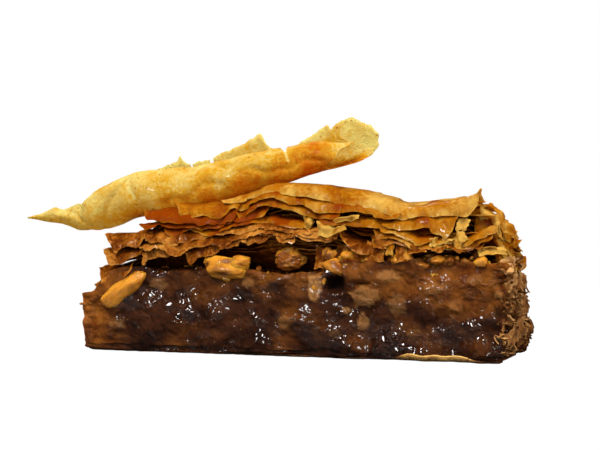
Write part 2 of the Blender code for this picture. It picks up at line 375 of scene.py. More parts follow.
def flush_bit(point):
    """How far inside a flush bit of nut the point is, from 0 to 1, and how pale the bit is. The
    back has the same bits, turned end for end."""
    x, y, z = point
    if abs(y) < 12:
        return 0, 0
    x = x if y < 0 else -x
    for k, (at, high, half_x, half_z, pale) in enumerate(flush_bits):
        u, w = (x - at) / half_x, (z - high) / half_z
        if max(abs(u), abs(w)) > 1.3:
            continue
        reach = max(
            u * math.cos(1.7 * k + side) + w * math.sin(1.7 * k + side)
            + 0.12 * math.sin(9 * k + 5 * side)
            for side in (0, 1.2, 2.3, 3.4, 4.7, 5.6)
        )
        reach += 0.1 * rough(x, k, z, 0.8)
        if reach < 1:
            return min((1 - reach) * 9, 1), pale
    return 0, 0


HOLE_X, HOLE_Z = 10.1, 12.4


def hole_share(x, z):
    """1 in the middle of the one hole in the cut side, falling to 0 outside it."""
    return math.exp(-(((x - HOLE_X) / 1.5) ** 4) - ((z - HOLE_Z) / 1.1) ** 4)


def folds(point, size):
    """Rounded lumps with creases between them, longer along X than high, from about -0.4 to 0.6."""
    x, y, z = point
    warp = 0.35 * rough(x, z, y, 2.2 * size)
    place = Vector((x * 0.55 + 0.25 * z, y * 0.8, z * 1.1)) / size + Vector((warp, 0, warp))
    return 2.1 * math.sqrt(noise.noise(place) ** 2 + 0.009) - 0.5


def paste_marks(points):
    """How light the paste is at each point, with darker paste towards the bottom and painted shade in
    the one hole; how thin and amber; how much of a bit of nut shows; and how wet it is: the syrup
    gathers low down on one half of the cut side."""
    marks = {"nut_and_shade": [], "thin": [], "bit": [], "wet": []}
    for x, y, z in points:
        # Painted shade: the hole is made darker and less amber inside.
        hollow = hole_share(x, z) if y < 0 else 0
        # Darker towards the bottom.
        lower_darkening = 0.28 * max(1 - z / 5, 0)
        lumps = 0.55 * noise.noise(Vector((x * 0.6, y, z)) / 2.6) + 0.3 * folds((x, y, z), 2.6)
        along = x if y < 0 else -x
        syrup = math.exp(-(((z - 3.4) / 1.7) ** 2)) * ramp((along - 1) / 5) * ramp((35 - along) / 4)
        # Amber towards both ends, partly the syrup's colour and partly a painted glow where light passes
        # through the thin paste; lighter amber also high up from the middle rightwards.
        left = ramp((-26 - x) / 9) * (0.5 + 0.5 * ramp((z - 1) / 6))
        right = 0.85 * ramp((x - 12) / 22) * ramp((z - 6) / 6)
        upper = 0.4 * ramp((z - 9.5) / 4) * ramp((x + 12) / 8)
        low_right = 0.05 * ramp((x - 33) / 5)
        inside, pale = flush_bit((x, y, z))
        marks["nut_and_shade"].append(0.43 + lumps - hollow - lower_darkening - 0.15 * syrup)
        marks["thin"].append(max(left, right, upper, low_right) + 0.2 * rough(x, y, z, 5) - hollow)
        marks["bit"].append(min(1.25 * inside * pale, 1))
        marks["wet"].append(2.6 * syrup)
    return marks


def paste_height(point, out):
    """How far the paste stands out: wide swells, lumps, small wet grains and flush bits of nut, with
    one hole and a crack at the cut side, and teeth down the left end."""
    x, y, z = point
    height = 0.3 * rough(x, y, z, 8) + 0.5 * folds(point, 3.2) + 0.15 * folds((x + 40, y, z), 1.3)
    height += 0.09 * rough(x, y, z + 9, 0.9)
    height += 0.25 * flush_bit(point)[0]
    if y < -10:
        height -= 3.4 * hole_share(x, z)
        crack = ((z - 12.5 + 0.05 * (x - 14)) / 0.25) ** 2 + ((x - 14.5) / 1.7) ** 4
        height -= 0.9 * math.exp(-crack)
        middle = math.exp(-(((x - 4) / 30) ** 8))
        height -= 1.1 * middle * max(z - 13.2, 0) / 2 * max(rough(x, 3, 1, 3), 0)
    height += 0.35 * (abs(rough(7, y * 0.6, z, 1.3)) - 0.3) * ramp((-36 - x) / 1.5)
    end = 0.8 * folds((x, y + 9, z), 2.2) + 0.5 * abs(rough(x, y, z, 1.2)) - 0.2
    height += ramp((x - 35.5) / 1.5) * end
    return height * (1 - 0.5 * abs(out.z)) * (0.2 if out.z < -0.5 else 1)


def paste_block(cells, shape):
    """A block of paste: a closed box cut into cells, each point placed by shape(u, v, w) from -1 to
    1, then moved out along the surface's own normal by paste_height."""
    index, points, faces = {}, [], []

    def corner(*place):
        if place not in index:
            index[place] = len(points)
            points.append(shape(*(2 * at / most - 1 for at, most in zip(place, cells))))
        return index[place]

    for axis in range(3):
        first, second = (axis + 1) % 3, (axis + 2) % 3
        for side in (0, cells[axis]):
            for i in range(cells[first]):
                for j in range(cells[second]):
                    quad = []
                    for p, q in ((i, j), (i + 1, j), (i + 1, j + 1), (i, j + 1)):
                        place = [0, 0, 0]
                        place[axis], place[first], place[second] = side, p, q
                        quad.append(corner(*place))
                    faces.append(quad if side else quad[::-1])
    mesh = bpy.data.meshes.new("form")
    mesh.from_pydata(points, [], faces)
    moved = [
        vertex.co + vertex.normal * paste_height(vertex.co, vertex.normal) for vertex in mesh.vertices
    ]
    bpy.data.meshes.remove(mesh)
    return moved, faces, paste_marks(moved)


BASE_HALF_LENGTH, BASE_HALF_DEPTH = 36.9, 14.8


def base_top(x, y):
    return 2.05 + 0.4 * rough(x, y, 3, 6) + 0.12 * rough(x, y, 4, 2)


def base_point(u, v, w):
    x, y = BASE_HALF_LENGTH * u, BASE_HALF_DEPTH * v
    low = 0.5 + 0.15 * rough(x, y, 8, 5)
    push = 0.8 * rough(x, y, 0, 6)
    return x + push * u**5, y + push * v**5, low + (base_top(x, y) - low) * (w + 1) / 2


soaked_layers = paste_material(
    "soaked layers", (0.009, 0.0022, 0.0006), (0.033, 0.009, 0.0025), (0.05, 0.011, 0.001),
    (0.16, 0.048, 0.006),
)
add_joined("soaked_bottom_layers", [paste_block((220, 64, 8), base_point)], soaked_layers,
           "base_pastry", "soaked_pastry")

# ---- 2. The nut filling ---------------------------------------------------------------------
# Finely chopped walnut bound with syrup, pressed into one block between the leaves. It is wet and
# lumpy, nearly black in the middle and amber where it is thin at the ends, partly as a painted glow
# of light through it.


def line(knots, x):
    """The smooth line through the knots, at x: a cubic with slopes taken from its neighbours."""
    last = len(knots) - 1
    x = min(max(x, knots[0][0]), knots[last][0])
    i = next(k for k in range(last) if x <= knots[k + 1][0])

    def slope(k):
        before, after = knots[max(k - 1, 0)], knots[min(k + 1, last)]
        return (after[1] - before[1]) / (after[0] - before[0])

    (x0, h0), (x1, h1) = knots[i], knots[i + 1]
    step = x1 - x0
    t = (x - x0) / step
    rise = (2 * t**3 - 3 * t**2 + 1) * h0 + (3 * t**2 - 2 * t**3) * h1
    return rise + ((t**3 - 2 * t**2 + t) * slope(i) + (t**3 - t**2) * slope(i + 1)) * step


FILLING_TOP = (
    (-38, 10.4), (-35, 10.7), (-34.2, 12.6), (-32.4, 14.2), (-26, 15.0), (-13, 15.3), (-4, 14.4), (4, 14.1),
    (11, 16.0), (22, 16.3), (38, 15.7),
)
HALF_LENGTH, HALF_DEPTH = 37.4, 15


def filling_top(x, y):
    """The height of the filling. It narrows a little towards the back."""
    return line(FILLING_TOP, x * (1 - 0.35 * (y / 30 + 0.5))) + 0.35 * rough(x, y, 11, 11)


def filling_point(u, v, w):
    """The right end leans in as it rises, and the top dips where the large bit of nut sits."""
    level, back = (w + 1) / 2, (v + 1) / 2
    x, y = 0.3 + HALF_LENGTH * u, HALF_DEPTH * v
    push = 0.8 * rough(x, y, 9 * level, 6)
    x -= (0.4 * back + 1.9 * level * (0.3 + 0.7 * back)) * max(u, 0) ** 3
    x += push * u**5 * (0.4 if u < 0 else 1)
    y += push * v**5
    low = base_top(x, y) - 0.9
    high = filling_top(x, y) - 1.3 * math.exp(-(((x + 19) / 5.5) ** 4)) * max(-v, 0) ** 3
    return x, y, low + (high - low) * level


paste = paste_material(
    "nut paste", (0.010, 0.0024, 0.0006), (0.042, 0.0112, 0.003), (0.082, 0.0175, 0.001),
    (0.245, 0.076, 0.007),
)
filling = add_joined("nut_filling_block", [paste_block((230, 67, 42), filling_point)], paste,
                     "nut_filling", "nut_paste")

# ---- 3. The bits of nut ---------------------------------------------------------------------
# Chopped hazelnut and walnut caught at the cut side, each a shard with broken faces and a film of
# syrup. The large ones sit in sockets in the filling and under the soft leaves.

nut_finish = bpy.data.materials.new("nut")
nut_finish.use_nodes = True
add, link, sum_of, mixed, _, grain = tools(nut_finish.node_tree)
shader = nut_finish.node_tree.nodes["Principled BSDF"]
veins, tone, relief = grain(520, 5, 1.4), add("ShaderNodeAttribute"), add("ShaderNodeBump")
tone.attribute_name = "toast"
shade = sum_of("MULTIPLY_ADD", sum_of("SUBTRACT", veins, 0.5), 1.3, tone.outputs["Fac"], clamp=True)
link(mixed("MIX", shade, (0.47, 0.192, 0.016, 1), (0.14, 0.038, 0.004, 1)), shader.inputs["Base Color"])
for socket, value in (
    ("Roughness", 0.25), ("Specular IOR Level", 0.25), ("Coat Roughness", 0.06),
    ("Subsurface Weight", 0.45), ("Subsurface Radius", (0.0022, 0.0009, 0.0003)), ("Subsurface Scale", 1),
):
    shader.inputs[socket].default_value = value
link(sum_of("MULTIPLY_ADD", grain(420, 2, 0.3), 7, -3.2, clamp=True), shader.inputs["Coat Weight"])
relief.inputs["Strength"].default_value = 0.5
relief.inputs["Distance"].default_value = 0.0004
link(veins, relief.inputs["Height"])
link(relief.outputs["Normal"], shader.inputs["Normal"])


BREAK_ROUNDING = 0.06


def nut_form(middle, halves, turn, bend, seed, toast, chips=5, detail=5, taper=0.0, dents=(), crust=0.02):
    """A broken bit of nut: a ball drawn out, flattened by a few breaks, tapered, bent and turned.
    Dents are hollows painted darker inside as shade: the way to each from the middle, how wide and how deep."""
    form = bmesh.new()
    bmesh.ops.create_icosphere(form, subdivisions=detail, radius=1)
    dice = random.Random(seed)
    breaks = []
    for _ in range(chips):
        way = Vector((dice.uniform(-1, 1), dice.uniform(-1, 1), dice.uniform(-1, 1))).normalized()
        breaks.append((way, dice.uniform(0.62, 0.85)))
    cos, sin = math.cos(math.radians(turn)), math.sin(math.radians(turn))
    tones = []
    for vertex in form.verts:
        a, b, c = vertex.co
        reach = 1 + 0.13 * rough(a + seed, b, c, 0.9) + 0.05 * rough(a, b, c + seed, 0.45)
        for side, depth in breaks:
            facing = vertex.co.dot(side)
            if facing > 0:
                cut = depth / facing + 0.05 * rough(a, b, c + seed, 0.4)
                kept, broken = math.exp(-reach / BREAK_ROUNDING), math.exp(-cut / BREAK_ROUNDING)
                reach = -BREAK_ROUNDING * math.log(kept + broken)
        reach += crust * rough(a, b + seed, c, 0.2)
        hollow = 0
        for side, width, depth in dents:
            share = math.exp(-(((vertex.co - Vector(side).normalized()).length / width) ** 2))
            reach -= depth * share
            hollow = max(hollow, share)
        x = a * halves[0] * reach * (1.22 - 0.22 * a**2)
        y = b * halves[1] * reach * (1 - taper * a)
        z = c * halves[2] * reach * (1 - taper * a) + bend * (a**2 - 0.5)
        vertex.co = middle[0] + x * cos + z * sin, middle[1] + y, middle[2] - x * sin + z * cos
        # Darker in the dents: painted shade.
        tones.append(toast + 0.4 * rough(a, b, c + seed, 0.8) + 0.9 * hollow)
    points = [vertex.co[:] for vertex in form.verts]
    faces = [[vertex.index for vertex in face.verts] for face in form.faces]
    form.free()
    return points, faces, {"toast": tones, "edge": [0.0] * len(points)}


for node, lumps in (
    ("nut_sliver", [((-29.1, -15.0, 11.3), (4.9, 1.7, 1.9), -36, 0.4, 3, 0.3, 0, 5, 0.3)]),
    ("nut_chunk", [
        ((-10.1, -14.3, 15.0), (3.9, 2.2, 2.1), 4, 0.0, 12, 0.15, 2, 5, 0.0,
         (((-0.8, -0.75, 0.1), 0.3, 0.3), ((0.3, -0.8, 0.7), 0.25, 0.1), ((0.2, -0.9, -0.6), 0.2, 0.1))),
        ((-7.0, -14.3, 15.8), (1.9, 1.5, 1.3), 0, 0.0, 13, 0.15, 1, 4),
        ((-9.4, -14.7, 13.3), (0.8, 0.7, 0.8), 0, 0.0, 16, 0.3, 1, 4),
    ]),
    ("nut_glazed", [((1.5, -12.7, 16.4), (2.5, 2.1, 1.9), 0, 0.0, 5, 0.75, 2, 5, 0.0,
                     (((-0.2, -0.9, 0.4), 0.3, 0.12), ((0.5, -0.8, -0.1), 0.25, 0.1)), 0.07)]),
    ("nut_crumb", [((10.2, -14.1, 15.2), (2.2, 1.9, 1.7), 20, 0.0, 9, 0.6, 4, 5)]),
):
    add_joined(node + "_look", [nut_form(*lump) for lump in lumps], nut_finish, node, "nut")

# Smaller bits of the same nuts, pressed into the cut side, and rubble of nut and paste where the
# block has crumbled under the leaves: middle, half sizes, turn and toast.
small_nuts = [
    ((34.3, -15.0, 16.0), (1.15, 0.9, 0.85), 5, 0.1), ((27.3, -14.4, 16.2), (1.1, 0.9, 0.8), 0, 0.5),
    ((20.4, -14.3, 16.3), (1.0, 0.9, 0.9), 10, 0.2), ((22.2, -14.3, 16.6), (1.1, 0.9, 1.0), -20, 0.35),
    ((7.2, -14.5, 12.2), (1.0, 0.6, 2.4), 28, 0.5), ((12.2, -14.1, 16.9), (1.3, 1.1, 1.0), -15, 0.35),
    ((8.6, -13.7, 17.5), (1.0, 0.9, 1.1), 30, 0.8), ((24.7, -14.2, 15.4), (1.2, 0.8, 0.6), 0, 0.8),
]
# The rubble's toasts run deep, which darkens the gaps under the leaves: partly the nuts' own brown, partly
# painted shade.
dice = random.Random(4)
for x, z, size, count in (
    (12.0, 16.2, 4.0, 34), (18.5, 17.0, 3.0, 22), (28.0, 15.8, 5.5, 26), (-5, 14.2, 4, 6),
):
    for _ in range(count):
        half = dice.uniform(0.25, 0.85)
        middle = (
            x + size * dice.uniform(-1, 1), dice.uniform(-14.5, -11.5),
            z + 0.35 * size * dice.uniform(-1, 0.8),
        )
        halves = half * dice.uniform(0.8, 1.5), half, half
        small_nuts.append((middle, halves, dice.uniform(-60, 60), dice.uniform(0.5, 1.3)))
add_joined("nut_rubble", [
    nut_form(middle, halves, turn, 0, 20 + k, toast, 5, 3)
    for k, (middle, halves, turn, toast) in enumerate(small_nuts)
], nut_finish, None, "nut")

# ---- 4. The soft leaves ---------------------------------------------------------------------
# Five inner leaves, soft with syrup, that arch over two hollows above the filling. At the cut
# sides their torn margins hang down in ragged fringes.

HOLLOW_HEIGHT = (
    (-31, 0), (-21, 2.7), (-9, 3.6), (2, 4.6), (9, 2.4), (14, 0.1), (22, 0.2), (29, 1.8), (33, 1.5),
    (37, 0),
)
SOFT_THICKNESS = ((-34, 3.2), (-24, 4.6), (-10, 3.9), (4, 2.8), (22, 2.5), (38, 2.5))


def soft_bottom(x, y):
    """The underside of the soft leaves: over the hollows it stands clear of the filling, most at
    either long cut side."""
    hollow = max(line(HOLLOW_HEIGHT, x if y < 0 else -x), 0)
    inwards = ramp((HALF_DEPTH - abs(y)) / 11)
    return filling_top(x, y) - 0.1 + hollow * (0.5 + 0.5 * math.cos(math.pi * inwards))


def soft_top(x, y):
    return soft_bottom(x, y) + line(SOFT_THICKNESS, x) + 0.3 * rough(x, y, 23, 10)


STACK_HALF_DEPTH = 12.4


def stack(low, high, starts, ends, wall, seed, tones, droop):
    """Leaves between two heights. Each starts and ends at its own place, and the gaps between
    them open and close along the stack. The lower leaves are toasted deeper, as painted shade under
    the leaves above."""
    count = len(starts)
    sheets = []
    for k, (start, end) in enumerate(zip(starts, ends)):
        rows = []
        for x in spread(start, end, 0.42):
            front = -STACK_HALF_DEPTH + 0.5 * rough(x, seed + 3.1 * k, 1, 5)
            front += 0.22 * rough(x, seed + k, 3, 1.3)
            back = STACK_HALF_DEPTH + 0.5 * rough(x, seed + 3.1 * k, 51, 5)
            back += 0.22 * rough(x, seed + k, 53, 1.3)
            row = []
            for v in spread(0, 1, 0.025, margin=0.07):
                y = front + (back - front) * v
                gaps = [
                    (0.5 + 0.5 * min(max(rough(x, y, seed + 7.3 * n, 7) + 0.6, 0), 1.6)) ** 1.6 + 0.35
                    for n in range(count)
                ]
                here = low(x, y)
                z = here + wall + (high(x, y) - here - wall) * (sum(gaps[:k]) / sum(gaps[:-1]))
                rim, nose = min(y - front, back - y), min(x - start, end - x)
                z -= droop * (0.6 + 0.6 * rough(x, seed + k, 9 + (y > 0), 4)) * math.exp(-rim / 0.8)
                z -= 0.5 * droop * (0.6 + 0.8 * rough(y, seed + k, 19, 4)) * math.exp(-nose)
                z += 0.10 * rough(x, y, seed + 5 * k, 1.8) * math.exp(-rim / 3)
                shift = 0.9 * rough(y, seed + 2.3 * k, 29 + (x > 0), 6) + 0.3 * rough(y, k, 31, 1.2)
                # Deeper toast lower in the stack, and more for all but the top leaf: painted shade under the
                # leaves above.
                tone = tones[k] + 0.25 * rough(x, y, seed + 11 * k, 9) + 0.25 * (k < count - 1)
                row.append((x + shift * math.exp(-nose / 2), y, z, tone))
            rows.append(row)
        sheets.append(sheet_mesh(rows, wall))
    return sheets


HANGING_CELLS = 22


def hanging_leaf(shoulder, hem, seed, tone, side, low, high, ragged, lap=0.7, painted_shade_upwards=1, sunken=None):
    """The margin of a leaf bent down over a cut side, from its shoulder to its ragged hem. For the
    far side (side = 1) it keeps its share of the height from low to high. Its toast deepens upwards
    by the given share of painted shade, where the leaf above keeps the light off."""
    start, end = hem[0][0], hem[-1][0]
    inner, rows = 6.0, []

    def across(x, z):
        if side < 0:
            return z
        front_low, front_high = low(x, -HALF_DEPTH), high(x, -HALF_DEPTH)
        share = min(max((z - front_low) / max(front_high - front_low, 1), -0.15), 1)
        return low(x, HALF_DEPTH) + share * (high(x, HALF_DEPTH) - low(x, HALF_DEPTH))

    for x in spread(start, end, 0.2, margin=0.8):
        top = line(shoulder, x) + lap
        torn = min(max(0.35 + 1.1 * rough(x, seed, 11, 3.5), 0.12), 1)
        tip = line(hem, x) + ragged * (0.7 * rough(x, seed, 1, 2.3) + torn * 0.35 * rough(x, seed, 3, 0.8))
        teeth = 1.3 * max(rough(x, seed, 5, 0.9) - 0.25, 0) + 0.35 * abs(rough(x, seed, 13, 0.35))
        tip += torn * ragged * teeth
        tip += max(top - tip, 0.1) * math.exp(-min(x - start, end - x) / 0.5)
        tip = min(tip, top - 0.12)
        top, tip = across(x, top), across(x, tip)
        sway = 0.25 + 0.2 * math.sin(5 * seed) + 0.32 * rough(x, seed, 7, 4.5) + 0.16 * rough(x, seed, 9, 1.4)
        row = []
        for k in range(HANGING_CELLS + 1):
            v = (k / HANGING_CELLS) ** 1.15
            y = -HALF_DEPTH - sway + (inner + sway) * v**1.75
            z = tip + (top - tip) * (1 - (1 - v) ** 3.2) + 0.07 * (inner * v)
            y += 0.14 * rough(x, z, seed, 1.6) * (1 - v) ** 2
            z += 0.16 * rough(x, y, seed + 4, 2.2) * v * (1 - v) * 3
            z -= sunken(x, y) if sunken and side < 0 else 0
            # Painted shade: darker upwards, under the leaf above.
            shade = tone + 0.3 * rough(x, z, seed, 4) + 0.35 * painted_shade_upwards * min(v * 2.2, 1)
            row.append((x + 0.25 * rough(z, seed, x, 1.2), y * -side, z, shade))
        rows.append(row if side < 0 else row[::-1])
    return sheet_mesh(rows, wall=0.16)


soft_finish = pastry_material(
    "soft pastry", (0.53, 0.215, 0.032), (0.30, 0.085, 0.006), (0.11, 0.022, 0.001),
    gloss=0.35, rim_pale_and_highlight=0.38, patchiness=0.75, flecks=0.4, glow=0.35, coat=0.7, bump=0.9,
)
# The fringes, each its shoulder and its hem along X, a seed and its toast.
soft_fringes = [
    (  # the lowest leaf, over the left end of the hollow
        ((-25.9, 18.1), (-21.1, 18.6), (-16.2, 18.5), (-11.4, 19.2), (-6.4, 20.2)),
        ((-25.9, 15.6), (-24.5, 16.3), (-22.5, 16.7), (-19.7, 17.0), (-17.2, 17.3), (-16.7, 15.9),
         (-15.1, 16.0), (-12.4, 17.0), (-9.2, 18.2), (-7.9, 18.4), (-7.1, 18.0), (-6.4, 19.0)),
        1, 0.6,
    ),
    (
        ((-9.4, 19.7), (-6.7, 20.2), (-4, 20.5), (-0.9, 20.8)),
        ((-9.4, 18.3), (-8.2, 18.8), (-7.5, 18.5), (-6.6, 19.1), (-4.9, 18.8), (-3.8, 19.2), (-2.7, 18.8),
         (-0.9, 20.1)),
        2, 0.5,
    ),
    (
        ((-3.4, 20.8), (-0.7, 20.8), (0.6, 20.3), (2.4, 19.9), (4.2, 20.1), (7.7, 19.9), (10.1, 19.5)),
        ((-3.4, 19.7), (-1.6, 20.2), (-0.7, 20.3), (0, 19.8), (0.4, 19.0), (2.2, 19.0), (2.9, 18.8),
         (3.3, 19.4), (4.7, 19.5), (6.3, 19.5), (8, 19.2), (10.1, 18.6)),
        3, 0.5,
    ),
    (
        ((-26.5, 18.4), (-24.1, 18.8), (-21.1, 19.3), (-18.2, 19.3), (-14.3, 19.6), (-10.5, 19.9),
         (-7.7, 20.7), (-4, 21.2), (-1.2, 21.2), (1.5, 20.5), (4.2, 20.6), (7.7, 20.6), (11.2, 20.2)),
        ((-26.5, 17.0), (-24.1, 17.7), (-22.1, 18.1), (-20.1, 17.6), (-18.5, 17.3), (-17.4, 17.5),
         (-15.1, 18.4), (-11.4, 18.7), (-9.6, 18.7), (-7.1, 19.9), (-4, 20.4), (-1.2, 20.6), (0.6, 19.9),
         (1.1, 19.5), (3.6, 19.9), (7.7, 19.7), (11.2, 19.4)),
        4, 0.55,
    ),
    (
        ((-33.2, 20.3), (-30.5, 20.3), (-28.1, 20.4), (-26.1, 20.9), (-21.1, 20.9), (-18.2, 21.2),
         (-14.3, 20.6), (-7.5, 21.4), (-3.8, 22.0), (-1.2, 22.2), (1.3, 21.5), (4.2, 21.3), (8.6, 21.0)),
        ((-33.2, 19.9), (-31.8, 18.6), (-30.7, 17.7), (-29.9, 18.6), (-28.3, 18.7), (-26.5, 18.5),
         (-23.1, 19.3), (-19.7, 18.7), (-18.2, 19.3), (-14.3, 19.7), (-9.4, 20.4), (-5.6, 20.9), (-2, 21.3),
         (1.3, 20.6), (3.8, 20.6), (8.6, 20.2)),
        5, 0.5,
    ),
    (  # the two tabs low at the left end
        ((-33.6, 17.6), (-31, 17.7), (-28, 17.6), (-25.4, 17.8)),
        ((-33.6, 17.0), (-32.9, 15.6), (-32.2, 14.9), (-30.5, 15.6), (-28, 16.4), (-25.4, 17.2)),
        6, 0.5,
    ),
    (
        ((-34.3, 14.4), (-32, 14.5), (-30, 14.6), (-27.6, 14.9)),
        ((-34.3, 13.6), (-33.6, 11.6), (-32.8, 11.0), (-31, 11.9), (-29.3, 13.0), (-27.6, 14.2)),
        7, 0.55,
    ),
    (  # over the small hollow at the right
        ((11.2, 20.4), (12.5, 19.5), (13.9, 18.9), (15.6, 18.5), (17.9, 19.2), (21.3, 19.3), (23.6, 18.2),
         (26.2, 18.1), (29.4, 18.3), (32.5, 18.1), (34.7, 18.1)),
        ((11.2, 19.9), (12.5, 18.4), (13.9, 17.7), (14.7, 17.2), (15.9, 17.1), (17.1, 17.7), (19.9, 19.0),
         (21.3, 18.6), (22.7, 17.8), (23.6, 17.0), (25, 17.5), (28.3, 17.5), (31, 17.7), (33.8, 17.5),
         (34.7, 17.2)),
        8, 0.6,
    ),
]
# Toasts from the lowest leaf up; the lower ones are darker as painted shade.
soft_sheets = stack(
    soft_bottom, soft_top, (-33.2, -33.0, -32.4, -33.0, -32.2), (34.2, 33.4, 34.4, 33.0, 34.0),
    wall=0.3, seed=200, tones=(0.8, 0.6, 0.6, 0.6, 0.5), droop=0.5,
)
add_joined("soft_leaves", soft_sheets, soft_finish, "soft_pastry", "soft_pastry")
for side, name in ((-1, "soft_fringe_front"), (1, "soft_fringe_back")):
    add_joined(name, [
        hanging_leaf(shoulder, hem, seed + 20 * side, tone, side, soft_bottom, soft_top, ragged=0.5)
        for shoulder, hem, seed, tone in soft_fringes
    ], soft_finish, "soft_pastry", "soft_pastry")

# ---- 5. The crisp leaves --------------------------------------------------------------------
# The upper leaves, baked crisp and brushed with butter: a glossy orange dome, its margins bent
# down over the cut sides by the knife. The uppermost rise to a torn peak at the right.

CRISP_TOP = (
    (-38, 18.6), (-33, 20.6), (-29, 21.4), (-26, 22.6), (-22, 24.6), (-11, 26.7), (-4, 28.5), (3, 29.7),
    (12, 28.3), (21, 25.8), (28, 26.7), (33.2, 27.5), (34.4, 26.6), (35.6, 25.0), (38, 22.8),
)
# The loose leaf's roll rests on them: where it lies across, its underside and its radius.
ROLL_Y = -8
LEAF_UNDERSIDE = (
    (-54, 24.3), (-46, 22.6), (-39, 21.9), (-31, 24.0), (-17, 25.7), (-5, 29.0), (0, 30.1), (6, 31.6),
    (16, 34.0),
)
LEAF_RADIUS = (
    (-54, 2.5), (-38, 4.1), (-27, 4.4), (-11, 3.8), (0, 3.2), (6, 2.7), (12, 1.9), (16, 1.7),
)


def crisp_bottom(x, y):
    return soft_top(x, y) + 0.2


def sunken(x, y):
    """How far the right end of the crisp leaves falls away behind the torn peak at the cut side."""
    return 2.0 * ramp((x - 30.5) / 3) * ramp((y + 13.6) / 3)


def crisp_top(x, y):
    """The dome: it droops to the cut sides, sinks at the back right, and gives under the loose leaf."""
    droop = 1.5 * abs(y / HALF_DEPTH) ** 5
    corner = 4.5 * max(x - 27, 0) / 9.2 * max((y + 9) / 24, 0)
    free = line(CRISP_TOP, x) - droop - corner + 0.3 * rough(x, y, 37, 10) - sunken(x, y)
    radius = line(LEAF_RADIUS, x)
    across = min(abs(y - ROLL_Y) / radius, 1)
    return min(free, line(LEAF_UNDERSIDE, x) + radius * (1 - math.sqrt(1 - across**2)) - 0.4)


crisp_finish = pastry_material(
    "crisp pastry", (0.66, 0.39, 0.07), (0.46, 0.165, 0.004), (0.28, 0.044, 0.0008),
    gloss=0.3, rim_pale_and_highlight=0.2, patchiness=0.36, flecks=0.4, glow=0.48, coat=0.9, bump=0.5,
)
# The hanging margins, as the fringes above. The topmost has its own seed, named here.
TOPMOST = 40
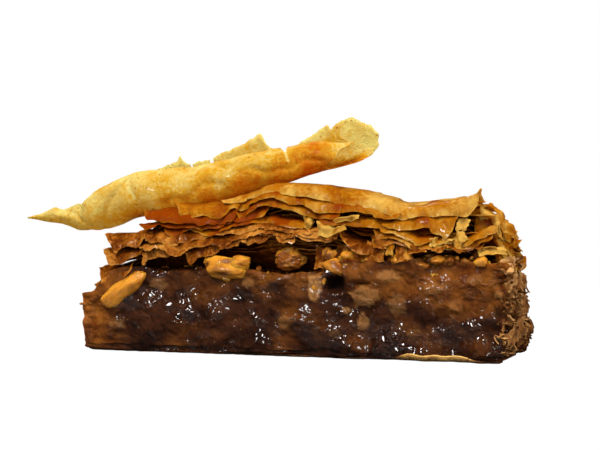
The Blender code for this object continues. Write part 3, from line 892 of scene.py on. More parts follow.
# The three lowest at the left are toasted deeper: partly their own colour, partly painted shade under the
# loose leaf's roll.
crisp_flaps = [
    (  # the lowest crisp leaf at the left
        ((-21.1, 21.2), (-16.6, 21.6), (-13, 21.1), (-9.6, 21.8), (-6.7, 22.7), (-4.9, 23), (-2.7, 23.2),
         (-0.9, 23.2), (0.6, 22.7), (4.2, 22.3), (6.8, 22.1)),
        ((-21.1, 20.3), (-18.5, 20.7), (-16.6, 21.3), (-15.3, 21.2), (-13, 20.5), (-10.9, 20.7),
         (-8.4, 21.5), (-6.7, 22.0), (-4.9, 22.2), (-2.7, 22.5), (-0.9, 22.4), (0.6, 21.9), (4.2, 21.4),
         (6.8, 21.1)),
        31, 0.85,
    ),
    (
        ((-25.9, 22.0), (-22.1, 22.4), (-18.2, 22.3), (-13.7, 22.2), (-10.5, 22.7), (-7.7, 23.6),
         (-5.8, 24.3), (-4, 24.8), (-2.7, 25), (-1.6, 24.7)),
        ((-25.9, 21.4), (-24.1, 21.8), (-21.5, 22.0), (-18.2, 21.8), (-14.3, 21.6), (-10.1, 21.9),
         (-8.6, 22.3), (-6.7, 22.7), (-4.9, 23.0), (-3.1, 23.2), (-1.6, 23.1)),
        32, 1.05,
    ),
    (
        ((-25.1, 24.3), (-21.1, 24.7), (-16.2, 24.4), (-11.4, 24.5), (-6.7, 25.3)),
        ((-25.1, 22.7), (-23.7, 23.2), (-21.5, 22.7), (-20.1, 23.0), (-17.8, 22.5), (-16.2, 22.4),
         (-13.7, 22.2), (-9, 22.6), (-6.7, 23.3)),
        33, 1.15,
    ),
    (
        ((-7.5, 23.8), (-5.8, 24.6), (-4.5, 25.3), (-2.7, 26.3), (-0.9, 26.5), (1.1, 26.1), (2.9, 25.4),
         (5, 25.0), (6.8, 24.0), (8.6, 23.8), (11.5, 23.6)),
        ((-7.5, 22.6), (-6.7, 22.8), (-4.9, 24.1), (-3.1, 25.1), (-0.9, 25.2), (0.6, 25.1), (2.4, 24.5),
         (4.2, 24.0), (5.9, 23.3), (7, 23.0), (8.6, 23.1), (11.5, 22.8)),
        34, 0.6,
    ),
    (
        ((7.3, 23), (11.2, 23.1), (14.6, 22.7), (16.6, 22.4), (18.8, 22), (20.3, 21.5)),
        ((7.3, 21.9), (10.3, 22.0), (13.7, 21.6), (16.3, 21.5), (17.9, 21.3), (19.1, 20.9), (20.3, 20.4)),
        35, 0.6,
    ),
    (
        ((16.6, 20.6), (19.3, 20.1), (21.9, 19.6), (22.9, 19), (24.5, 18.4), (27.3, 18.6), (29.7, 18.6),
         (31.7, 18.4), (33.6, 19.2), (34.7, 19.6), (36.4, 19.8)),
        ((16.6, 19.8), (19.3, 19.5), (21.9, 19.0), (22.9, 18.2), (23.9, 17.9), (26.2, 17.8), (28.3, 18.0),
         (31.7, 17.9), (33.6, 18.6), (34.7, 19.0), (36.4, 19.0)),
        36, 0.45,
    ),
    (
        ((18.3, 20.9), (20.4, 20.7), (21.6, 20.6), (22.9, 20), (24.1, 19.5), (25.5, 19.4), (27, 19.4),
         (28.9, 19.5), (30.3, 19.7), (32.2, 19.4), (33.8, 20.3), (35.7, 20.9), (37, 20.9)),
        ((18.3, 20.1), (20.4, 20.2), (22.6, 19.4), (24.1, 18.5), (24.7, 18.5), (26.5, 18.9), (27.3, 18.3),
         (28.9, 18.8), (31.3, 18.4), (32.2, 18.4), (33.3, 19.2), (34.4, 19.6), (35.7, 19.9), (37, 19.6)),
        37, 0.45,
    ),
    (
        ((18.6, 21.4), (20.4, 22.2), (21.8, 22.7), (23.1, 23.1), (24.5, 23.2), (26.2, 23.4), (28.6, 23.5),
         (30.6, 23.3)),
        ((18.6, 20.8), (20.9, 20.9), (24.5, 21.2), (25.8, 21.2), (26.3, 20.7), (27.9, 20.0), (28.7, 19.5),
         (30.6, 20.2)),
        38, 0.5,
    ),
    (
        ((-18.9, 25.4), (-14.3, 25.3), (-9.6, 25.7), (-6.7, 26.0), (-4, 26.8), (-1.2, 27.5), (1.1, 27.4),
         (2.9, 26.9), (5.9, 26.5), (9.4, 26.0), (12.9, 25.4), (16.3, 24.7), (21.4, 23.1)),
        ((-18.9, 24.1), (-16.2, 23.3), (-13.3, 23.8), (-11.6, 23.4), (-10.3, 23.2), (-9, 24.2),
         (-7.7, 25.1), (-6.2, 24.7), (-3.4, 26.2), (-2.1, 26.6), (-0.3, 26.6), (2.4, 25.5), (5, 25.1),
         (7.2, 24.1), (8.6, 24.0), (11.5, 23.9), (14.2, 24.2), (15.1, 23.8), (17.9, 22.9), (21.4, 22.3)),
        39, 0.6,
    ),
    (  # the topmost leaf, from its crest down
        ((-10.1, 26.6), (-4.9, 28.0), (-1.1, 29.2), (1.1, 29.2), (4.2, 29.0), (7.7, 28.6), (11.2, 28.1),
         (13.7, 27.7), (16.3, 27.1), (18.8, 26.4), (20.8, 25.6), (23.1, 24.9), (24.7, 25.2), (26.2, 25.6),
         (29.7, 25.8), (31, 26.4), (32.5, 26.8), (34.0, 27.3)),
        ((-10.1, 25.5), (-6.7, 26.0), (-4.9, 26.5), (-3.1, 27.0), (-1.2, 27.5), (1.5, 27.4), (2.9, 26.9),
         (5.9, 26.5), (8.6, 26.0), (11.2, 25.4), (13.7, 25.0), (16.9, 24.2), (18.9, 23.6), (20.4, 22.7),
         (21.8, 22.6), (24.5, 23.0), (28.1, 23.3), (31, 23.1), (32.7, 22.8), (34.0, 23.6)),
        40, 0.3,
    ),
]
# Toasts from the lowest leaf up; the lower ones are darker as painted shade.
crisp_sheets = stack(
    crisp_bottom, crisp_top,
    (-33.0, -32.0, -30.5, -26.5, -26.0, -25.4, -25.0, -24.4),
    (34.2, 33.4, 34.0, 33.2, 33.8, 33.2, 33.7, 33.5),
    wall=0.26, seed=300, tones=(0.7, 0.65, 0.6, 0.6, 0.5, 0.55, 0.4, 0.3), droop=0.6,
)
add_joined("crisp_leaves_lower", crisp_sheets[:4], crisp_finish, "crisp_pastry", "crisp_pastry")
add_joined("crisp_leaves_upper", crisp_sheets[4:], crisp_finish, "crisp_pastry", "crisp_pastry")
# The topmost margin has less painted shade, with no leaf above it.
for side, name in ((-1, "crisp_margin_front"), (1, "crisp_margin_back")):
    add_joined(name, [
        hanging_leaf(
            shoulder, hem, seed + 20 * side, tone, side, crisp_bottom, crisp_top, ragged=0.24,
            lap=0.0 if seed == TOPMOST else 0.7, painted_shade_upwards=0.3 if seed == TOPMOST else 1, sunken=sunken,
        )
        for shoulder, hem, seed, tone in crisp_flaps
    ], crisp_finish, "crisp_pastry", "crisp_pastry")

# Over the broken right end the leaves' torn margins bend down too, one lower than the other.
RIGHT_END_X, END_CELLS = 35.2, 18


def end_leaf(shoulder, hem, out, seed, tone):
    """The torn margin of a leaf over the right end: heights along Y of its shoulder and its hem."""
    start, stop = hem[0][0], hem[-1][0]
    inner, rows = 5.0, []
    for y in spread(start, stop, 0.3, margin=0.8):
        tip = line(hem, y) + 0.3 * (0.9 * rough(y, seed, 1, 1.5) + 0.8 * rough(y, seed, 3, 0.5))
        top = line(shoulder, y)
        tip += max(top - tip, 0.1) * math.exp(-min(y - start, stop - y) / 0.6)
        tip = min(tip, top - 0.15)
        sway = out + 0.5 * rough(y, seed, 7, 3.0) + 0.25 * rough(y, seed, 9, 0.9)
        row = []
        for k in range(END_CELLS + 1):
            v = (k / END_CELLS) ** 1.15
            x = RIGHT_END_X + sway - (inner + sway) * v**1.75
            z = tip + (top - tip) * (1 - (1 - v) ** 3)
            z += 0.2 * rough(x, y, seed + 4, 1.6) * math.sin(math.pi * v)
            x += 0.35 * rough(y, z, seed, 1.4) * (1 - v) ** 2
            # Deeper toast up towards the shoulder: painted shade under the leaf above.
            row.append((x, y, z, tone + 0.35 * rough(y, z, seed, 3) + 0.25 * v))
        rows.append(row)
    return sheet_mesh(rows, wall=0.18)


# Each its shoulder and its hem along Y, how far it stands out, a seed and its toast.
end_margins = [
    (
        ((-14.6, 23.2), (-11, 24.6), (-7, 24.2), (-3, 23.0)),
        ((-14.6, 21.0), (-12.5, 20.4), (-10, 21.4), (-8, 19.2), (-5, 19.6), (-3, 21)), 1.4, 60, 0.4,
    ),
    (
        ((-9, 23.4), (-3, 23.2), (3, 22.4), (8, 21.6)),
        ((-9, 21.8), (-6, 19.0), (-3, 20.2), (1, 18.6), (4, 19.8), (8, 19.4)), 1.7, 61, 0.55,
    ),
    (
        ((3, 22.2), (8, 21.4), (12, 20.8), (14.2, 20.2)),
        ((3, 20.4), (6, 18.6), (9, 19.4), (12, 17.9), (14.2, 18.6)), 1.2, 62, 0.5,
    ),
    (
        ((-14.8, 20.4), (-10, 20.6), (-5, 20.4), (0, 20.0)),
        ((-14.8, 18.6), (-12, 17.4), (-9, 18.4), (-6, 16.8), (-3, 17.6), (0, 18.2)), 1.6, 63, 0.4,
    ),
    (
        ((-4, 20.2), (2, 19.8), (8, 19.4), (14.4, 18.8)),
        ((-4, 18.0), (0, 16.6), (4, 17.6), (8, 16.2), (11, 17.2), (14.4, 16.4)), 1.3, 64, 0.6,
    ),
    (
        ((-14.8, 18.4), (-9, 18.2), (-2, 18.0), (4, 17.8)),
        ((-14.8, 16.8), (-12, 15.6), (-8, 14.2), (-5, 15.6), (0, 14.6), (4, 16.0)), 1.5, 65, 0.4,
    ),
    (
        ((-1, 18.2), (5, 17.8), (10, 17.4), (14.4, 17.2)),
        ((-1, 16.2), (3, 14.6), (7, 15.6), (11, 14.0), (14.4, 15.2)), 1.4, 66, 0.55,
    ),
]
add_joined("right_end_margins", [end_leaf(*margin) for margin in end_margins], crisp_finish,
           "crisp_pastry", "crisp_pastry")

# Torn scraps of leaf that stand or hang between the margins at the cut side, folded over where
# they were pulled, and thicker towards the broken right end: four corners and toast.
SCRAP_ALONG, SCRAP_UP = 26, 18


def scrap(corners, tone, seed, bow=0.35, ragged=0.13):
    """A torn scrap of leaf between four corners (low left, low right, high right, high left), bowed
    out of their plane, with ragged sides."""
    a, b, c, d = (Vector(corner) for corner in corners)
    along, up = (b - a).normalized(), (d - a).normalized()
    out = (b - a).cross(d - a).normalized()
    rows = []
    for i in range(SCRAP_ALONG + 1):
        row = []
        for j in range(SCRAP_UP + 1):
            u, v = i / SCRAP_ALONG, j / SCRAP_UP
            place = a.lerp(b, u).lerp(d.lerp(c, u), v)
            place += along * ragged * rough(v * 3, seed, u * 0.4, 0.8) * (2 * u - 1) ** 3
            place += up * ragged * rough(u * 3, seed + 5, v * 0.4, 0.8) * (2 * v - 1) ** 3
            place += out * (bow * math.sin(math.pi * u) * (0.4 + 0.6 * math.sin(math.pi * v))
                            + 0.16 * rough(*place, 1.1) + 0.25 * rough(u * 3, v * 3, seed, 1.6))
            row.append((*place, tone + 0.25 * rough(*place, 1.5)))
        rows.append(row)
    return sheet_mesh(rows, wall=0.22)


crisp_scraps = [
    (((7.5, -15.5, 20.1), (9.8, -15.5, 19.9), (10.3, -14.9, 22.4), (7.2, -14.9, 22.8)), 0.12),
    (((9.8, -15.3, 22.3), (14.3, -15.3, 22.9), (14.5, -15.0, 23.7), (10.2, -15.0, 22.9)), 0.15),
    (((9.6, -15.6, 20.0), (12.3, -15.6, 21.3), (12.0, -15.2, 22.1), (9.3, -15.2, 20.9)), 0.18),
    (((4.8, -15.1, 21.8), (6.2, -15.1, 21.6), (6.4, -14.6, 23.5), (4.7, -14.6, 24.0)), 0.3),
    (((30.3, -15.0, 20.9), (31.9, -15.0, 20.8), (32.7, -14.6, 22.3), (30.5, -14.4, 23.0)), 0.2),
    (((31.0, -15.6, 18.4), (32.5, -15.3, 19.4), (31.4, -15.1, 20.9), (30.3, -15.2, 20.9)), 0.1),
    (((33.9, -13.6, 22.6), (36.6, -13.4, 22.9), (36.6, -13.4, 23.1), (33.9, -13.6, 24.5)), 0.05),
    (((32.6, -13.0, 19.8), (36.4, -12.8, 20.4), (36.2, -12.4, 23.0), (33.4, -12.6, 24.4)), 0.85),
    (((36.4, -14.2, 20.1), (37.4, -14.0, 19.4), (36.8, -13.8, 22.8), (36.1, -13.8, 23.1)), 0.25),
    (((36.4, -11.5, 21.6), (37.2, -11.0, 20.7), (37.2, -10.5, 23.2), (35.3, -11.0, 25.2)), 0.5),
    (((37.2, -11.0, 20.6), (39.2, -8.0, 19.6), (38.8, -8.0, 21.0), (37.2, -10.5, 23.0)), 0.42),
    (((33.6, -8.5, 24.1), (36.1, -8.0, 24.0), (34.9, -8.0, 25.5), (33.3, -8.5, 25.2)), 0.5),
    (((34.0, -15.2, 16.9), (38.2, -14.2, 17.1), (37.7, -13.6, 18.3), (33.6, -14.6, 18.2)), 0.1),
    (((26.1, -15.2, 18.3), (27.2, -15.2, 18.4), (27.3, -14.9, 19.7), (26.1, -14.9, 19.8)), 0.25),
    (((28.2, -15.4, 18.9), (30.0, -15.4, 19.0), (29.9, -15.0, 19.7), (28.3, -15.0, 19.7)), 0.2),
    (((18.9, -15.1, 17.1), (20.2, -15.0, 16.9), (20.3, -14.5, 19.4), (18.8, -14.6, 19.6)), 0.45),
]
soft_scraps = [
    (((22.8, -15.4, 17.1), (25.6, -15.2, 17.5), (25.7, -14.6, 18.9), (22.4, -14.6, 18.8)), 0.6),
    (((6.2, -13.8, 14.9), (8.2, -13.6, 14.9), (8.4, -13.4, 18.2), (6.6, -13.6, 18.6)), 0.65),
    (((10.4, -13.2, 14.8), (14.2, -13.0, 14.8), (13.6, -12.6, 18.6), (9.8, -12.8, 18.8)), 0.75),
    (((13.0, -14.6, 15.4), (16.0, -14.4, 15.2), (15.2, -13.8, 18.4), (12.6, -14.0, 18.9)), 0.7),
    (((15.2, -14.9, 16.2), (18.6, -14.7, 15.9), (18.4, -14.2, 19.0), (15.6, -14.4, 19.2)), 0.6),
    (((16.8, -15.1, 18.2), (19.0, -15.1, 18.0), (19.2, -14.8, 20.4), (16.4, -14.8, 20.2)), 0.4),
    (((20.4, -15.0, 15.8), (22.6, -14.8, 16.0), (22.4, -14.3, 18.4), (20.4, -14.4, 18.9)), 0.75),
    (((-25.6, -15.2, 15.4), (-24.9, -15.2, 15.3), (-24.6, -14.9, 17.5), (-25.7, -14.9, 17.4)), 0.2),
]
for name, scraps, seed, finish, node in (
    ("crisp_scraps", crisp_scraps, 0, crisp_finish, "crisp_pastry"),
    ("soft_scraps", soft_scraps, 40, soft_finish, "soft_pastry"),
):
    add_joined(name, [scrap(corners, tone, seed + k) for k, (corners, tone) in enumerate(scraps)],
               finish, node, node)

# ---- 6. The loose leaf ----------------------------------------------------------------------
# One dry leaf that has come off the top and rolled itself into an open scroll. It lies on the
# crisp leaves, its tongue far out past the left end and a torn flap standing up behind.

LEAF_FLAP_TOP = (
    (-40, 30.0), (-29, 33.0), (-25, 34.2), (-24, 34.5), (-23.4, 35.5), (-22.8, 34.6), (-21, 33.8),
    (-19, 34.6), (-17, 34.9), (-14, 36.0), (-11, 37.2), (-7.4, 38.7), (-6.8, 38.7), (-5.9, 37.3),
    (-4.8, 36.2), (-2, 35.4), (-0.3, 36.2), (1, 37.2), (3, 38.2), (5, 39.1), (6, 39.7), (6.6, 39.3),
    (8.4, 40.3), (10.3, 41.1), (10.9, 41.0), (12, 40.0), (14, 39.2), (15.5, 38.6),
)
LEAF_LEFT_END = (
    (0, -35), (0.2, -36.5), (0.33, -38.3), (0.37, -40.5), (0.4, -46), (0.44, -52), (0.47, -53.1),
    (0.6, -53.1), (0.64, -52), (0.68, -48), (0.72, -43.5), (0.75, -41), (0.78, -39.4), (0.85, -38),
    (1, -34.5),
)
LEAF_RIGHT_END = (
    (0, 14.0), (0.06, 14.9), (0.2, 14.7), (0.3, 13.6), (0.38, 12.6), (0.44, 10.8), (0.5, 7.6), (0.58, 7.2),
    (0.66, 8.4), (0.8, 10.6), (1, 11.8),
)
# The tongue: the heights of its lower and upper edge along X.
TONGUE_LOW = (
    (-54, 24.3), (-49.4, 23.5), (-46, 23.2), (-41.7, 22.1), (-38, 21.5), (-34, 22.4),
)
TONGUE_HIGH = (
    (-54, 24.5), (-50.5, 25.4), (-47.3, 26.6), (-46.2, 25.9), (-44.5, 26.2), (-42.7, 26.6), (-41.3, 26.2),
    (-40.4, 27.2), (-39.4, 28.6), (-38, 29.8),
)
# Soft creases of the leaf: X and the place around the roll, at both ends, and how deep.
LEAF_CREASES = (
    (-38.5, 0.5, -35.2, 0.68, 0.75), (-35.2, 0.68, -31.2, 0.86, 0.75), (-45.0, 0.66, -42.0, 0.58, 0.55),
    (-42.0, 0.58, -38.0, 0.46, 0.65), (-30.6, 0.85, -29.4, 0.7, 0.35), (-24, 0.62, -12, 0.7, 0.3),
    (-8, 0.72, 6, 0.66, 0.3), (-20, 0.92, -10, 0.84, 0.3),
)
# Thin pale lines painted as highlights where fine cracks catch the light, and tears in from the
# free edges, the same way but for the depth.
LEAF_GLINT_LINES = ((-30.9, 0.86, -30.5, 0.82), (-30.3, 0.77, -28.9, 0.68), (-0.5, 0.9, 0.6, 0.76))
LEAF_TEARS = (
    (-17.1, -0.02, -16.9, 0.08), (-21.2, -0.02, -21.0, 0.03), (6.5, -0.02, 6.5, 0.0),
    (-2.1, 1.02, -1.3, 0.94), (-1.5, 1.02, -1.1, 0.92), (-0.9, 1.02, -0.5, 0.88),
)
CREASE_WIDTH, GLINT_LINE_WIDTH, TEAR_WIDTH, ROLL_GIRTH = 0.8, 0.22, 0.28, 25


def off_line(x, around, x0, around0, x1, around1):
    """How far a place on the leaf is from a line across it, in millimetres."""
    here, start, end = (
        Vector((a, ROLL_GIRTH * b)) for a, b in ((x, around), (x0, around0), (x1, around1))
    )
    share = ramp((here - start).dot(end - start) / (end - start).length_squared)
    return (here - start.lerp(end, share)).length


def leaf_ends(around):
    """Where the torn ends of the leaf lie along X, at a place around its roll."""
    left = line(LEAF_LEFT_END, around) + 0.2 * rough(around * 30, 3, 1, 2)
    return left, line(LEAF_RIGHT_END, around) + 0.4 * rough(around * 30, 7, 1, 2.5)


FLAP_SHARE, TURN, TONGUE_Y = 0.2, 270, -9.2


def leaf_point(x, around):
    """A point of the loose leaf, at X and around its roll, from 0 to 1: first down the flap, then
    round the roll. At the left the roll flattens into the tongue."""
    radius = line(LEAF_RADIUS, x)
    middle_z = line(LEAF_UNDERSIDE, x) + radius
    turn = 18 * around
    fold = 0.22 * rough(x * 0.35 + 0.3 * turn, turn, 2, 3.4) + 0.05 * rough(x * 0.6, turn, 5, 1.5)
    fold -= max(
        depth * math.exp(-((off_line(x, around, *crease) / CREASE_WIDTH) ** 2))
        for *crease, depth in LEAF_CREASES
    )
    if around < FLAP_SHARE:
        down = around / FLAP_SHARE
        high = line(LEAF_FLAP_TOP, x) + 0.12 * rough(x, 1, 1, 2.4) + 0.12 * rough(x, 5, 1, 0.8)
        y = ROLL_Y + radius * (0.7 + 0.3 * math.sin(math.pi / 2 * down)) + 1.2 * fold
        z = middle_z + (high - middle_z) * (1 - down)
    else:
        turned = (around - FLAP_SHARE) / (1 - FLAP_SHARE)
        angle = math.radians(180 + (TURN + 14 * rough(x, 2, 6, 3.5)) * turned)
        tighter = radius * (1 - 0.12 * turned**4) + fold
        y = ROLL_Y - tighter * math.cos(angle)
        z = middle_z + tighter * math.sin(angle)
        share = min(max((around - 0.40) / 0.30, -0.3), 1.3)
        flat = ramp((-38.5 - x) / 3.5) ** 2
        low, high = line(TONGUE_LOW, x), line(TONGUE_HIGH, x)
        y += (TONGUE_Y - 1.3 * math.sin(math.pi * ramp(share)) - 0.8 * fold - y) * flat
        z += (low + (high - low) * share - z) * flat
    return x, y, z + 0.12 * rough(x, y, 70, 4)


leaf_finish = pastry_material(
    "loose leaf", (0.77, 0.66, 0.225), (0.68, 0.40, 0.025), (0.58, 0.16, 0.002),
    gloss=0.35, rim_pale_and_highlight=0.15, patchiness=0.36, flecks=1.0, glow=0.58, coat=0.5, bump=0.7,
)
# How toasted the leaf is around its roll, with painted shade and light in it: darker low on the
# roll, where less light reaches, and paler up the flap, which light from behind shines through.
ROLL_TOAST_AND_SHADE = (
    (0, 0.08), (0.2, 0.18), (0.3, 0.55), (0.45, 1.0), (0.6, 0.8), (0.72, 0.6), (0.84, 0.54), (1, 0.5),
)
LEAF_START, LEAF_LENGTH, LEAF_CELLS, CELLS_ROUND = -53.4, 68.8, 310, 120
rows, on_leaf = [], []
ends = [leaf_ends(j / CELLS_ROUND) for j in range(CELLS_ROUND + 1)]
for i in range(LEAF_CELLS + 1):
    row = []
    along = LEAF_START + LEAF_LENGTH * i / LEAF_CELLS
    on_leaf.append([left < along < right for left, right in ends])
    for j, (left, right) in enumerate(ends):
        around = j / CELLS_ROUND
        x, y, z = leaf_point(min(max(along, left), right), around)
        pale = 0.7 * ramp((-12 - x) / 21)
        # Painted highlight: the leaf is made pale along thin lines.
        glint_line = max(math.exp(-((off_line(x, around, *glint_line) / GLINT_LINE_WIDTH) ** 2)) for glint_line in LEAF_GLINT_LINES)
        toast = (line(ROLL_TOAST_AND_SHADE, around) + 0.2 * rough(x, y, z, 4)) * (1 - pale) - 0.8 * glint_line
        row.append((x, y, z, toast))
    rows.append(row)
on_leaf = np.array(on_leaf)
keep = on_leaf[:-1, :-1] | on_leaf[1:, :-1] | on_leaf[:-1, 1:] | on_leaf[1:, 1:]
keep &= np.array([
    [min(off_line(place[0], (j + 0.5) / CELLS_ROUND, *tear) for tear in LEAF_TEARS) > TEAR_WIDTH
     for j, place in enumerate(row[:-1])]
    for row in rows[:-1]
])
add_joined("loose_leaf_scroll", [sheet_mesh(rows, wall=0.3, keep=keep)], leaf_finish,
           "loose_leaf", "loose_leaf")

# ---- 7. Crumbs and small flakes -------------------------------------------------------------
# Splinters of leaf and crumbs of nut left by the knife: they cling to the syrup on the cut ends
# and lie along the open edge under the leaves.


def scatter_tree():
    """Geometry Nodes: thin curled flakes, or crumbs where they are as thick as long, strewn over the
    faces of a host that face one way, between two heights."""
    tree = bpy.data.node_groups.new("strewn flakes", "GeometryNodeTree")
    for name, kind in (
        ("Geometry", "Geometry"), ("Finish", "Material"), ("Size", "Vector"), ("Curl", "Float"),
        ("Per Square Metre", "Float"), ("Facing", "Vector"), ("Beyond", "Float"), ("Lowest", "Float"),
        ("Highest", "Float"), ("Seed", "Int"),
    ):
        tree.interface.new_socket(name, in_out="INPUT", socket_type="NodeSocket" + kind)
    tree.interface.new_socket("Geometry", in_out="OUTPUT", socket_type="NodeSocketGeometry")
    add, link, sum_of = tools(tree)[:3]
    given, result = add("NodeGroupInput").outputs, add("NodeGroupOutput").inputs

    def chance(kind, low, high, seed):
        node = add("FunctionNodeRandomValue")
        node.data_type = kind
        sockets = [socket for socket in node.inputs if socket.enabled and socket.name in ("Min", "Max")]
        sockets[0].default_value, sockets[1].default_value = low, high
        link(sum_of("ADD", given["Seed"], seed), node.inputs["Seed"])
        return next(socket for socket in node.outputs if socket.enabled)

    flake = add("GeometryNodeMeshCube")
    for socket, count in (("Vertices X", 5), ("Vertices Y", 4), ("Vertices Z", 2)):
        flake.inputs[socket].default_value = count
    link(given["Size"], flake.inputs["Size"])
    position, bend = add("GeometryNodeInputPosition").outputs["Position"], add("GeometryNodeSetPosition")
    parts, lift = add("ShaderNodeSeparateXYZ"), add("ShaderNodeCombineXYZ")
    link(position, parts.inputs["Vector"])
    along = sum_of("MULTIPLY", parts.outputs["X"], 1000)
    link(sum_of("MULTIPLY", sum_of("MULTIPLY", along, along), given["Curl"]), lift.inputs["Z"])
    link(flake.outputs["Mesh"], bend.inputs["Geometry"])
    link(lift.outputs["Vector"], bend.inputs["Offset"])
    spots, normal = add("GeometryNodeDistributePointsOnFaces"), add("GeometryNodeInputNormal")
    facing, reach = add("ShaderNodeVectorMath"), add("ShaderNodeVectorMath")
    for node, vector in ((facing, normal.outputs["Normal"]), (reach, position)):
        node.operation = "DOT_PRODUCT"
        link(vector, node.inputs[0])
        link(given["Facing"], node.inputs[1])
    there = add("ShaderNodeSeparateXYZ")
    link(position, there.inputs["Vector"])
    inside = sum_of("GREATER_THAN", facing.outputs["Value"], 0.5)
    for test, value, limit in (
        ("GREATER_THAN", there.outputs["Z"], "Lowest"), ("LESS_THAN", there.outputs["Z"], "Highest"),
        ("GREATER_THAN", reach.outputs["Value"], "Beyond"),
    ):
        inside = sum_of("MULTIPLY", inside, sum_of(test, value, given[limit]))
    link(given["Geometry"], spots.inputs["Mesh"])
    link(inside, spots.inputs["Selection"])
    link(given["Per Square Metre"], spots.inputs["Density"])
    link(given["Seed"], spots.inputs["Seed"])
    strewn, turn = add("GeometryNodeInstanceOnPoints"), add("FunctionNodeEulerToRotation")
    link(chance("FLOAT_VECTOR", (-0.9, -0.9, -3), (0.9, 0.9, 3), 1), turn.inputs["Euler"])
    link(spots.outputs["Points"], strewn.inputs["Points"])
    link(bend.outputs["Geometry"], strewn.inputs["Instance"])
    link(turn.outputs["Rotation"], strewn.inputs["Rotation"])
    link(chance("FLOAT", 0.5, 1.5, 2), strewn.inputs["Scale"])
    toast, tear = add("GeometryNodeStoreNamedAttribute"), add("GeometryNodeSetPosition")
    toast.domain = "INSTANCE"
    toast.inputs["Name"].default_value = "toast"
    link(chance("FLOAT", 0.0, 0.95, 3), toast.inputs["Value"])
    uneven, torn = add("ShaderNodeTexNoise"), add("ShaderNodeVectorMath")
    uneven.inputs["Scale"].default_value = 1100
    uneven.inputs["Detail"].default_value = 1
    link(position, uneven.inputs["Vector"])
    torn.operation = "MULTIPLY_ADD"
    torn.inputs[1].default_value = (0.0016, 0.0016, 0.0016)
    torn.inputs[2].default_value = (-0.0008, -0.0008, -0.0008)
    link(uneven.outputs["Color"], torn.inputs[0])
    link(torn.outputs["Vector"], tear.inputs["Offset"])
    painted = add("GeometryNodeSetMaterial")
    link(given["Finish"], painted.inputs["Material"])
    flow = strewn.outputs["Instances"]
    for node in (toast, add("GeometryNodeRealizeInstances"), tear, painted):
        link(flow, node.inputs["Geometry"])
        flow = node.outputs["Geometry"]
    link(flow, result["Geometry"])
    return tree


strewn_flakes = scatter_tree()


def strew(name, finish, slot, size, curl, density, facing, beyond, lowest, highest, seed):
    """Flakes or crumbs over part of the filling, as a plain mesh; size and limits in millimetres."""
    carrier = bpy.data.objects.new("carrier", filling.data)
    bpy.context.scene.collection.objects.link(carrier)
    modifier = carrier.modifiers.new("strewn", "NODES")
    modifier.node_group = strewn_flakes
    values = {
        "Finish": finish, "Size": [side / 1000 for side in size], "Curl": curl,
        "Per Square Metre": density, "Facing": facing, "Beyond": beyond / 1000,
        "Lowest": lowest / 1000, "Highest": highest / 1000, "Seed": seed,
    }
    for socket in strewn_flakes.interface.items_tree:
        if socket.in_out == "INPUT" and socket.name in values:
            modifier[socket.identifier] = values[socket.name]
    graph = bpy.context.evaluated_depsgraph_get()
    mesh = bpy.data.meshes.new_from_object(carrier.evaluated_get(graph))
    bpy.data.objects.remove(carrier)
    add_piece(name, mesh, sharp=40, node=None, slot=slot)


crumb_finish = pastry_material(
    "crumbled pastry", (0.55, 0.29, 0.10), (0.27, 0.105, 0.027), (0.065, 0.02, 0.005),
    gloss=0.45, rim_pale_and_highlight=0.2, patchiness=0.5, flecks=0.3, glow=0.3, coat=0.4, bump=0.5,
)
for name, size, density, facing, beyond, lowest, highest, seed in (
    ("flakes_right_end", (1.35, 1.1, 0.17), 6e5, (1, 0, 0), 36, 1, 17, 3),
    ("flakes_left_end", (0.8, 0.6, 0.15), 1.6e5, (-1, 0, 0), 36.5, 2, 9, 5),
):
    strew(name, crumb_finish, "soft_pastry", size, 0.0003, density, facing, beyond, lowest, highest, seed)
# Larger scraps on the broken right end, their four corners and toast.
end_scraps = [
    (((37.5, -14.3, 11.4), (39.2, -11.0, 12.4), (38.9, -11.6, 16.9), (37.1, -14.2, 16.4)), 0.25),
    (((38.0, -13.6, 2.6), (39.7, -9.8, 3.6), (39.1, -11.0, 6.2), (37.8, -13.8, 4.6)), 0.6),
    (((38.0, -8.2, 6.2), (39.2, -5.2, 8.2), (38.9, -7.0, 10.2), (37.6, -9.6, 8.8)), 0.55),
    (((37.8, -3.0, 2.2), (39.2, 0.4, 4.8), (38.7, -1.8, 7.0), (37.5, -4.6, 5.4)), 0.7),
    (((37.4, -3.8, 11.8), (38.7, 0.8, 10.6), (38.1, 2.4, 13.2), (36.8, -2.0, 15.2)), 0.5),
    (((37.5, 4.4, 5.4), (38.8, 8.4, 8.2), (38.2, 6.4, 10.2), (37.0, 2.8, 8.2)), 0.65),
    (((37.1, 7.2, 12.6), (38.1, 11.0, 10.6), (37.4, 12.4, 13.0), (36.6, 8.6, 15.0)), 0.55),
    (((37.6, 10.4, 2.2), (38.8, 13.4, 3.8), (38.2, 12.0, 6.2), (37.3, 9.0, 4.6)), 0.7),
]
add_joined("right_end_scraps", [
    scrap(corners, tone, 80 + k, bow=0.5, ragged=0.3) for k, (corners, tone) in enumerate(end_scraps)
], crumb_finish, None, "soft_pastry")
strew("crumbs_on_top", nut_finish, "nut", (0.6, 0.5, 0.4), curl=0.0, density=4e4, facing=(0, 0, 1),
      beyond=-1, lowest=9, highest=20, seed=7)

# ---- 8. Floor, light and camera -------------------------------------------------------------
# A plain white floor under soft studio light: four large lamps that only light the surfaces, and
# five small ones that only show as glints in the syrup and the butter.

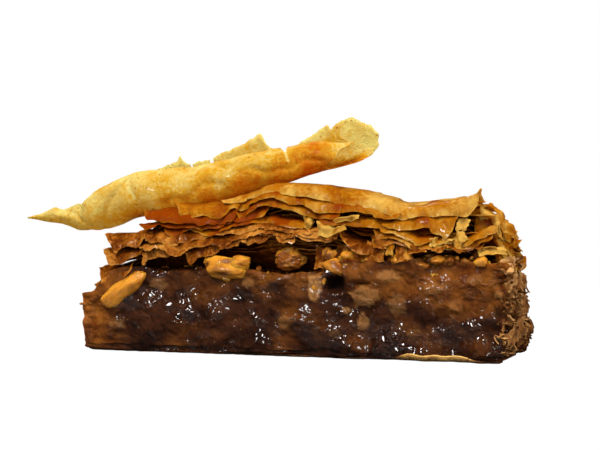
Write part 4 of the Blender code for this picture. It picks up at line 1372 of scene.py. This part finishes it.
floor_mesh = bpy.data.meshes.new("floor")
floor_mesh.from_pydata([(-3, -3, 0), (3, -3, 0), (3, 3, 0), (-3, 3, 0)], [], [(0, 1, 2, 3)])
floor = bpy.data.objects.new("floor", floor_mesh)
bpy.context.scene.collection.objects.link(floor)
floor_finish = bpy.data.materials.new("floor")
floor_finish.use_nodes = True
add, link, sum_of = tools(floor_finish.node_tree)[:3]
shader = floor_finish.node_tree.nodes["Principled BSDF"]
shader.inputs["Base Color"].default_value = (0.09, 0.09, 0.09, 1)
shader.inputs["Roughness"].default_value = 0.9
shader.inputs["Specular IOR Level"].default_value = 0.1
shine, rays, share = add("ShaderNodeEmission"), add("ShaderNodeLightPath"), add("ShaderNodeMixShader")
shine.inputs["Strength"].default_value = 1.12
link(sum_of("MULTIPLY", rays.outputs["Is Camera Ray"], 0.9), share.inputs["Fac"])
link(shader.outputs["BSDF"], share.inputs[1])
link(shine.outputs["Emission"], share.inputs[2])
link(share.outputs["Shader"], floor_finish.node_tree.nodes["Material Output"].inputs["Surface"])
floor_mesh.materials.append(floor_finish)

# White behind the piece, much dimmer as light on it, and nearly none of it mirrored.
world = bpy.data.worlds.new("studio")
bpy.context.scene.world = world
world.use_nodes = True
add, link, sum_of = tools(world.node_tree)[:3]
sky, rays = world.node_tree.nodes["Background"], add("ShaderNodeLightPath")
sky.inputs["Color"].default_value = (1, 1, 1, 1)
seen = sum_of("MULTIPLY_ADD", rays.outputs["Is Camera Ray"], 0.78, 0.22)
link(sum_of("MULTIPLY_ADD", rays.outputs["Is Glossy Ray"], -0.19, seen), sky.inputs["Strength"])

# Each lamp's place, the height it aims at, its size and power, and whether it is for glints.
for name, place, high, size, power, glints in (
    ("key", (-0.08, -0.30, 0.42), 0.02, 0.24, 4.4, False),
    ("front", (0.06, -0.45, 0.10), 0.02, 0.25, 0.8, False),
    ("right", (0.42, -0.12, 0.16), 0.02, 0.2, 1.9, False),
    ("behind", (-0.25, 0.25, 0.4), 0.03, 0.2, 3.1, False),
    ("glint left", (-0.16, -0.40, 0.14), 0.01, 0.048, 0.36, True),
    ("glint right", (0.10, -0.44, 0.13), 0.01, 0.048, 0.36, True),
    ("glint high", (-0.05, -0.36, 0.26), 0.01, 0.048, 0.36, True),
    ("glint end", (0.34, -0.22, 0.20), 0.01, 0.048, 0.3, True),
    ("glint above", (-0.18, 0.26, 0.42), 0.02, 0.1, 0.3, True),
):
    light = bpy.data.lights.new(name, "AREA")
    light.size = size
    light.energy = power
    lamp = bpy.data.objects.new(name, light)
    lamp.location = place
    lamp.rotation_euler = (Vector((0, 0, high)) - Vector(place)).to_track_quat("-Z", "Y").to_euler()
    lamp.visible_glossy = glints
    lamp.visible_diffuse = not glints
    bpy.context.scene.collection.objects.link(lamp)

# The camera stands low and close before the cut side, to the right of its middle.
lens = bpy.data.cameras.new("camera")
lens.lens = 60
lens.sensor_width = 36
lens.shift_y = 0.065
lens.clip_start = 0.001
camera = bpy.data.objects.new("camera", lens)
camera.location = (0.0624, -0.1708, 0.0156)
camera.rotation_euler = (math.radians(90), 0, math.radians(20.5))
bpy.context.scene.collection.objects.link(camera)
bpy.context.scene.camera = camera
bpy.context.scene.view_settings.view_transform = "Standard"
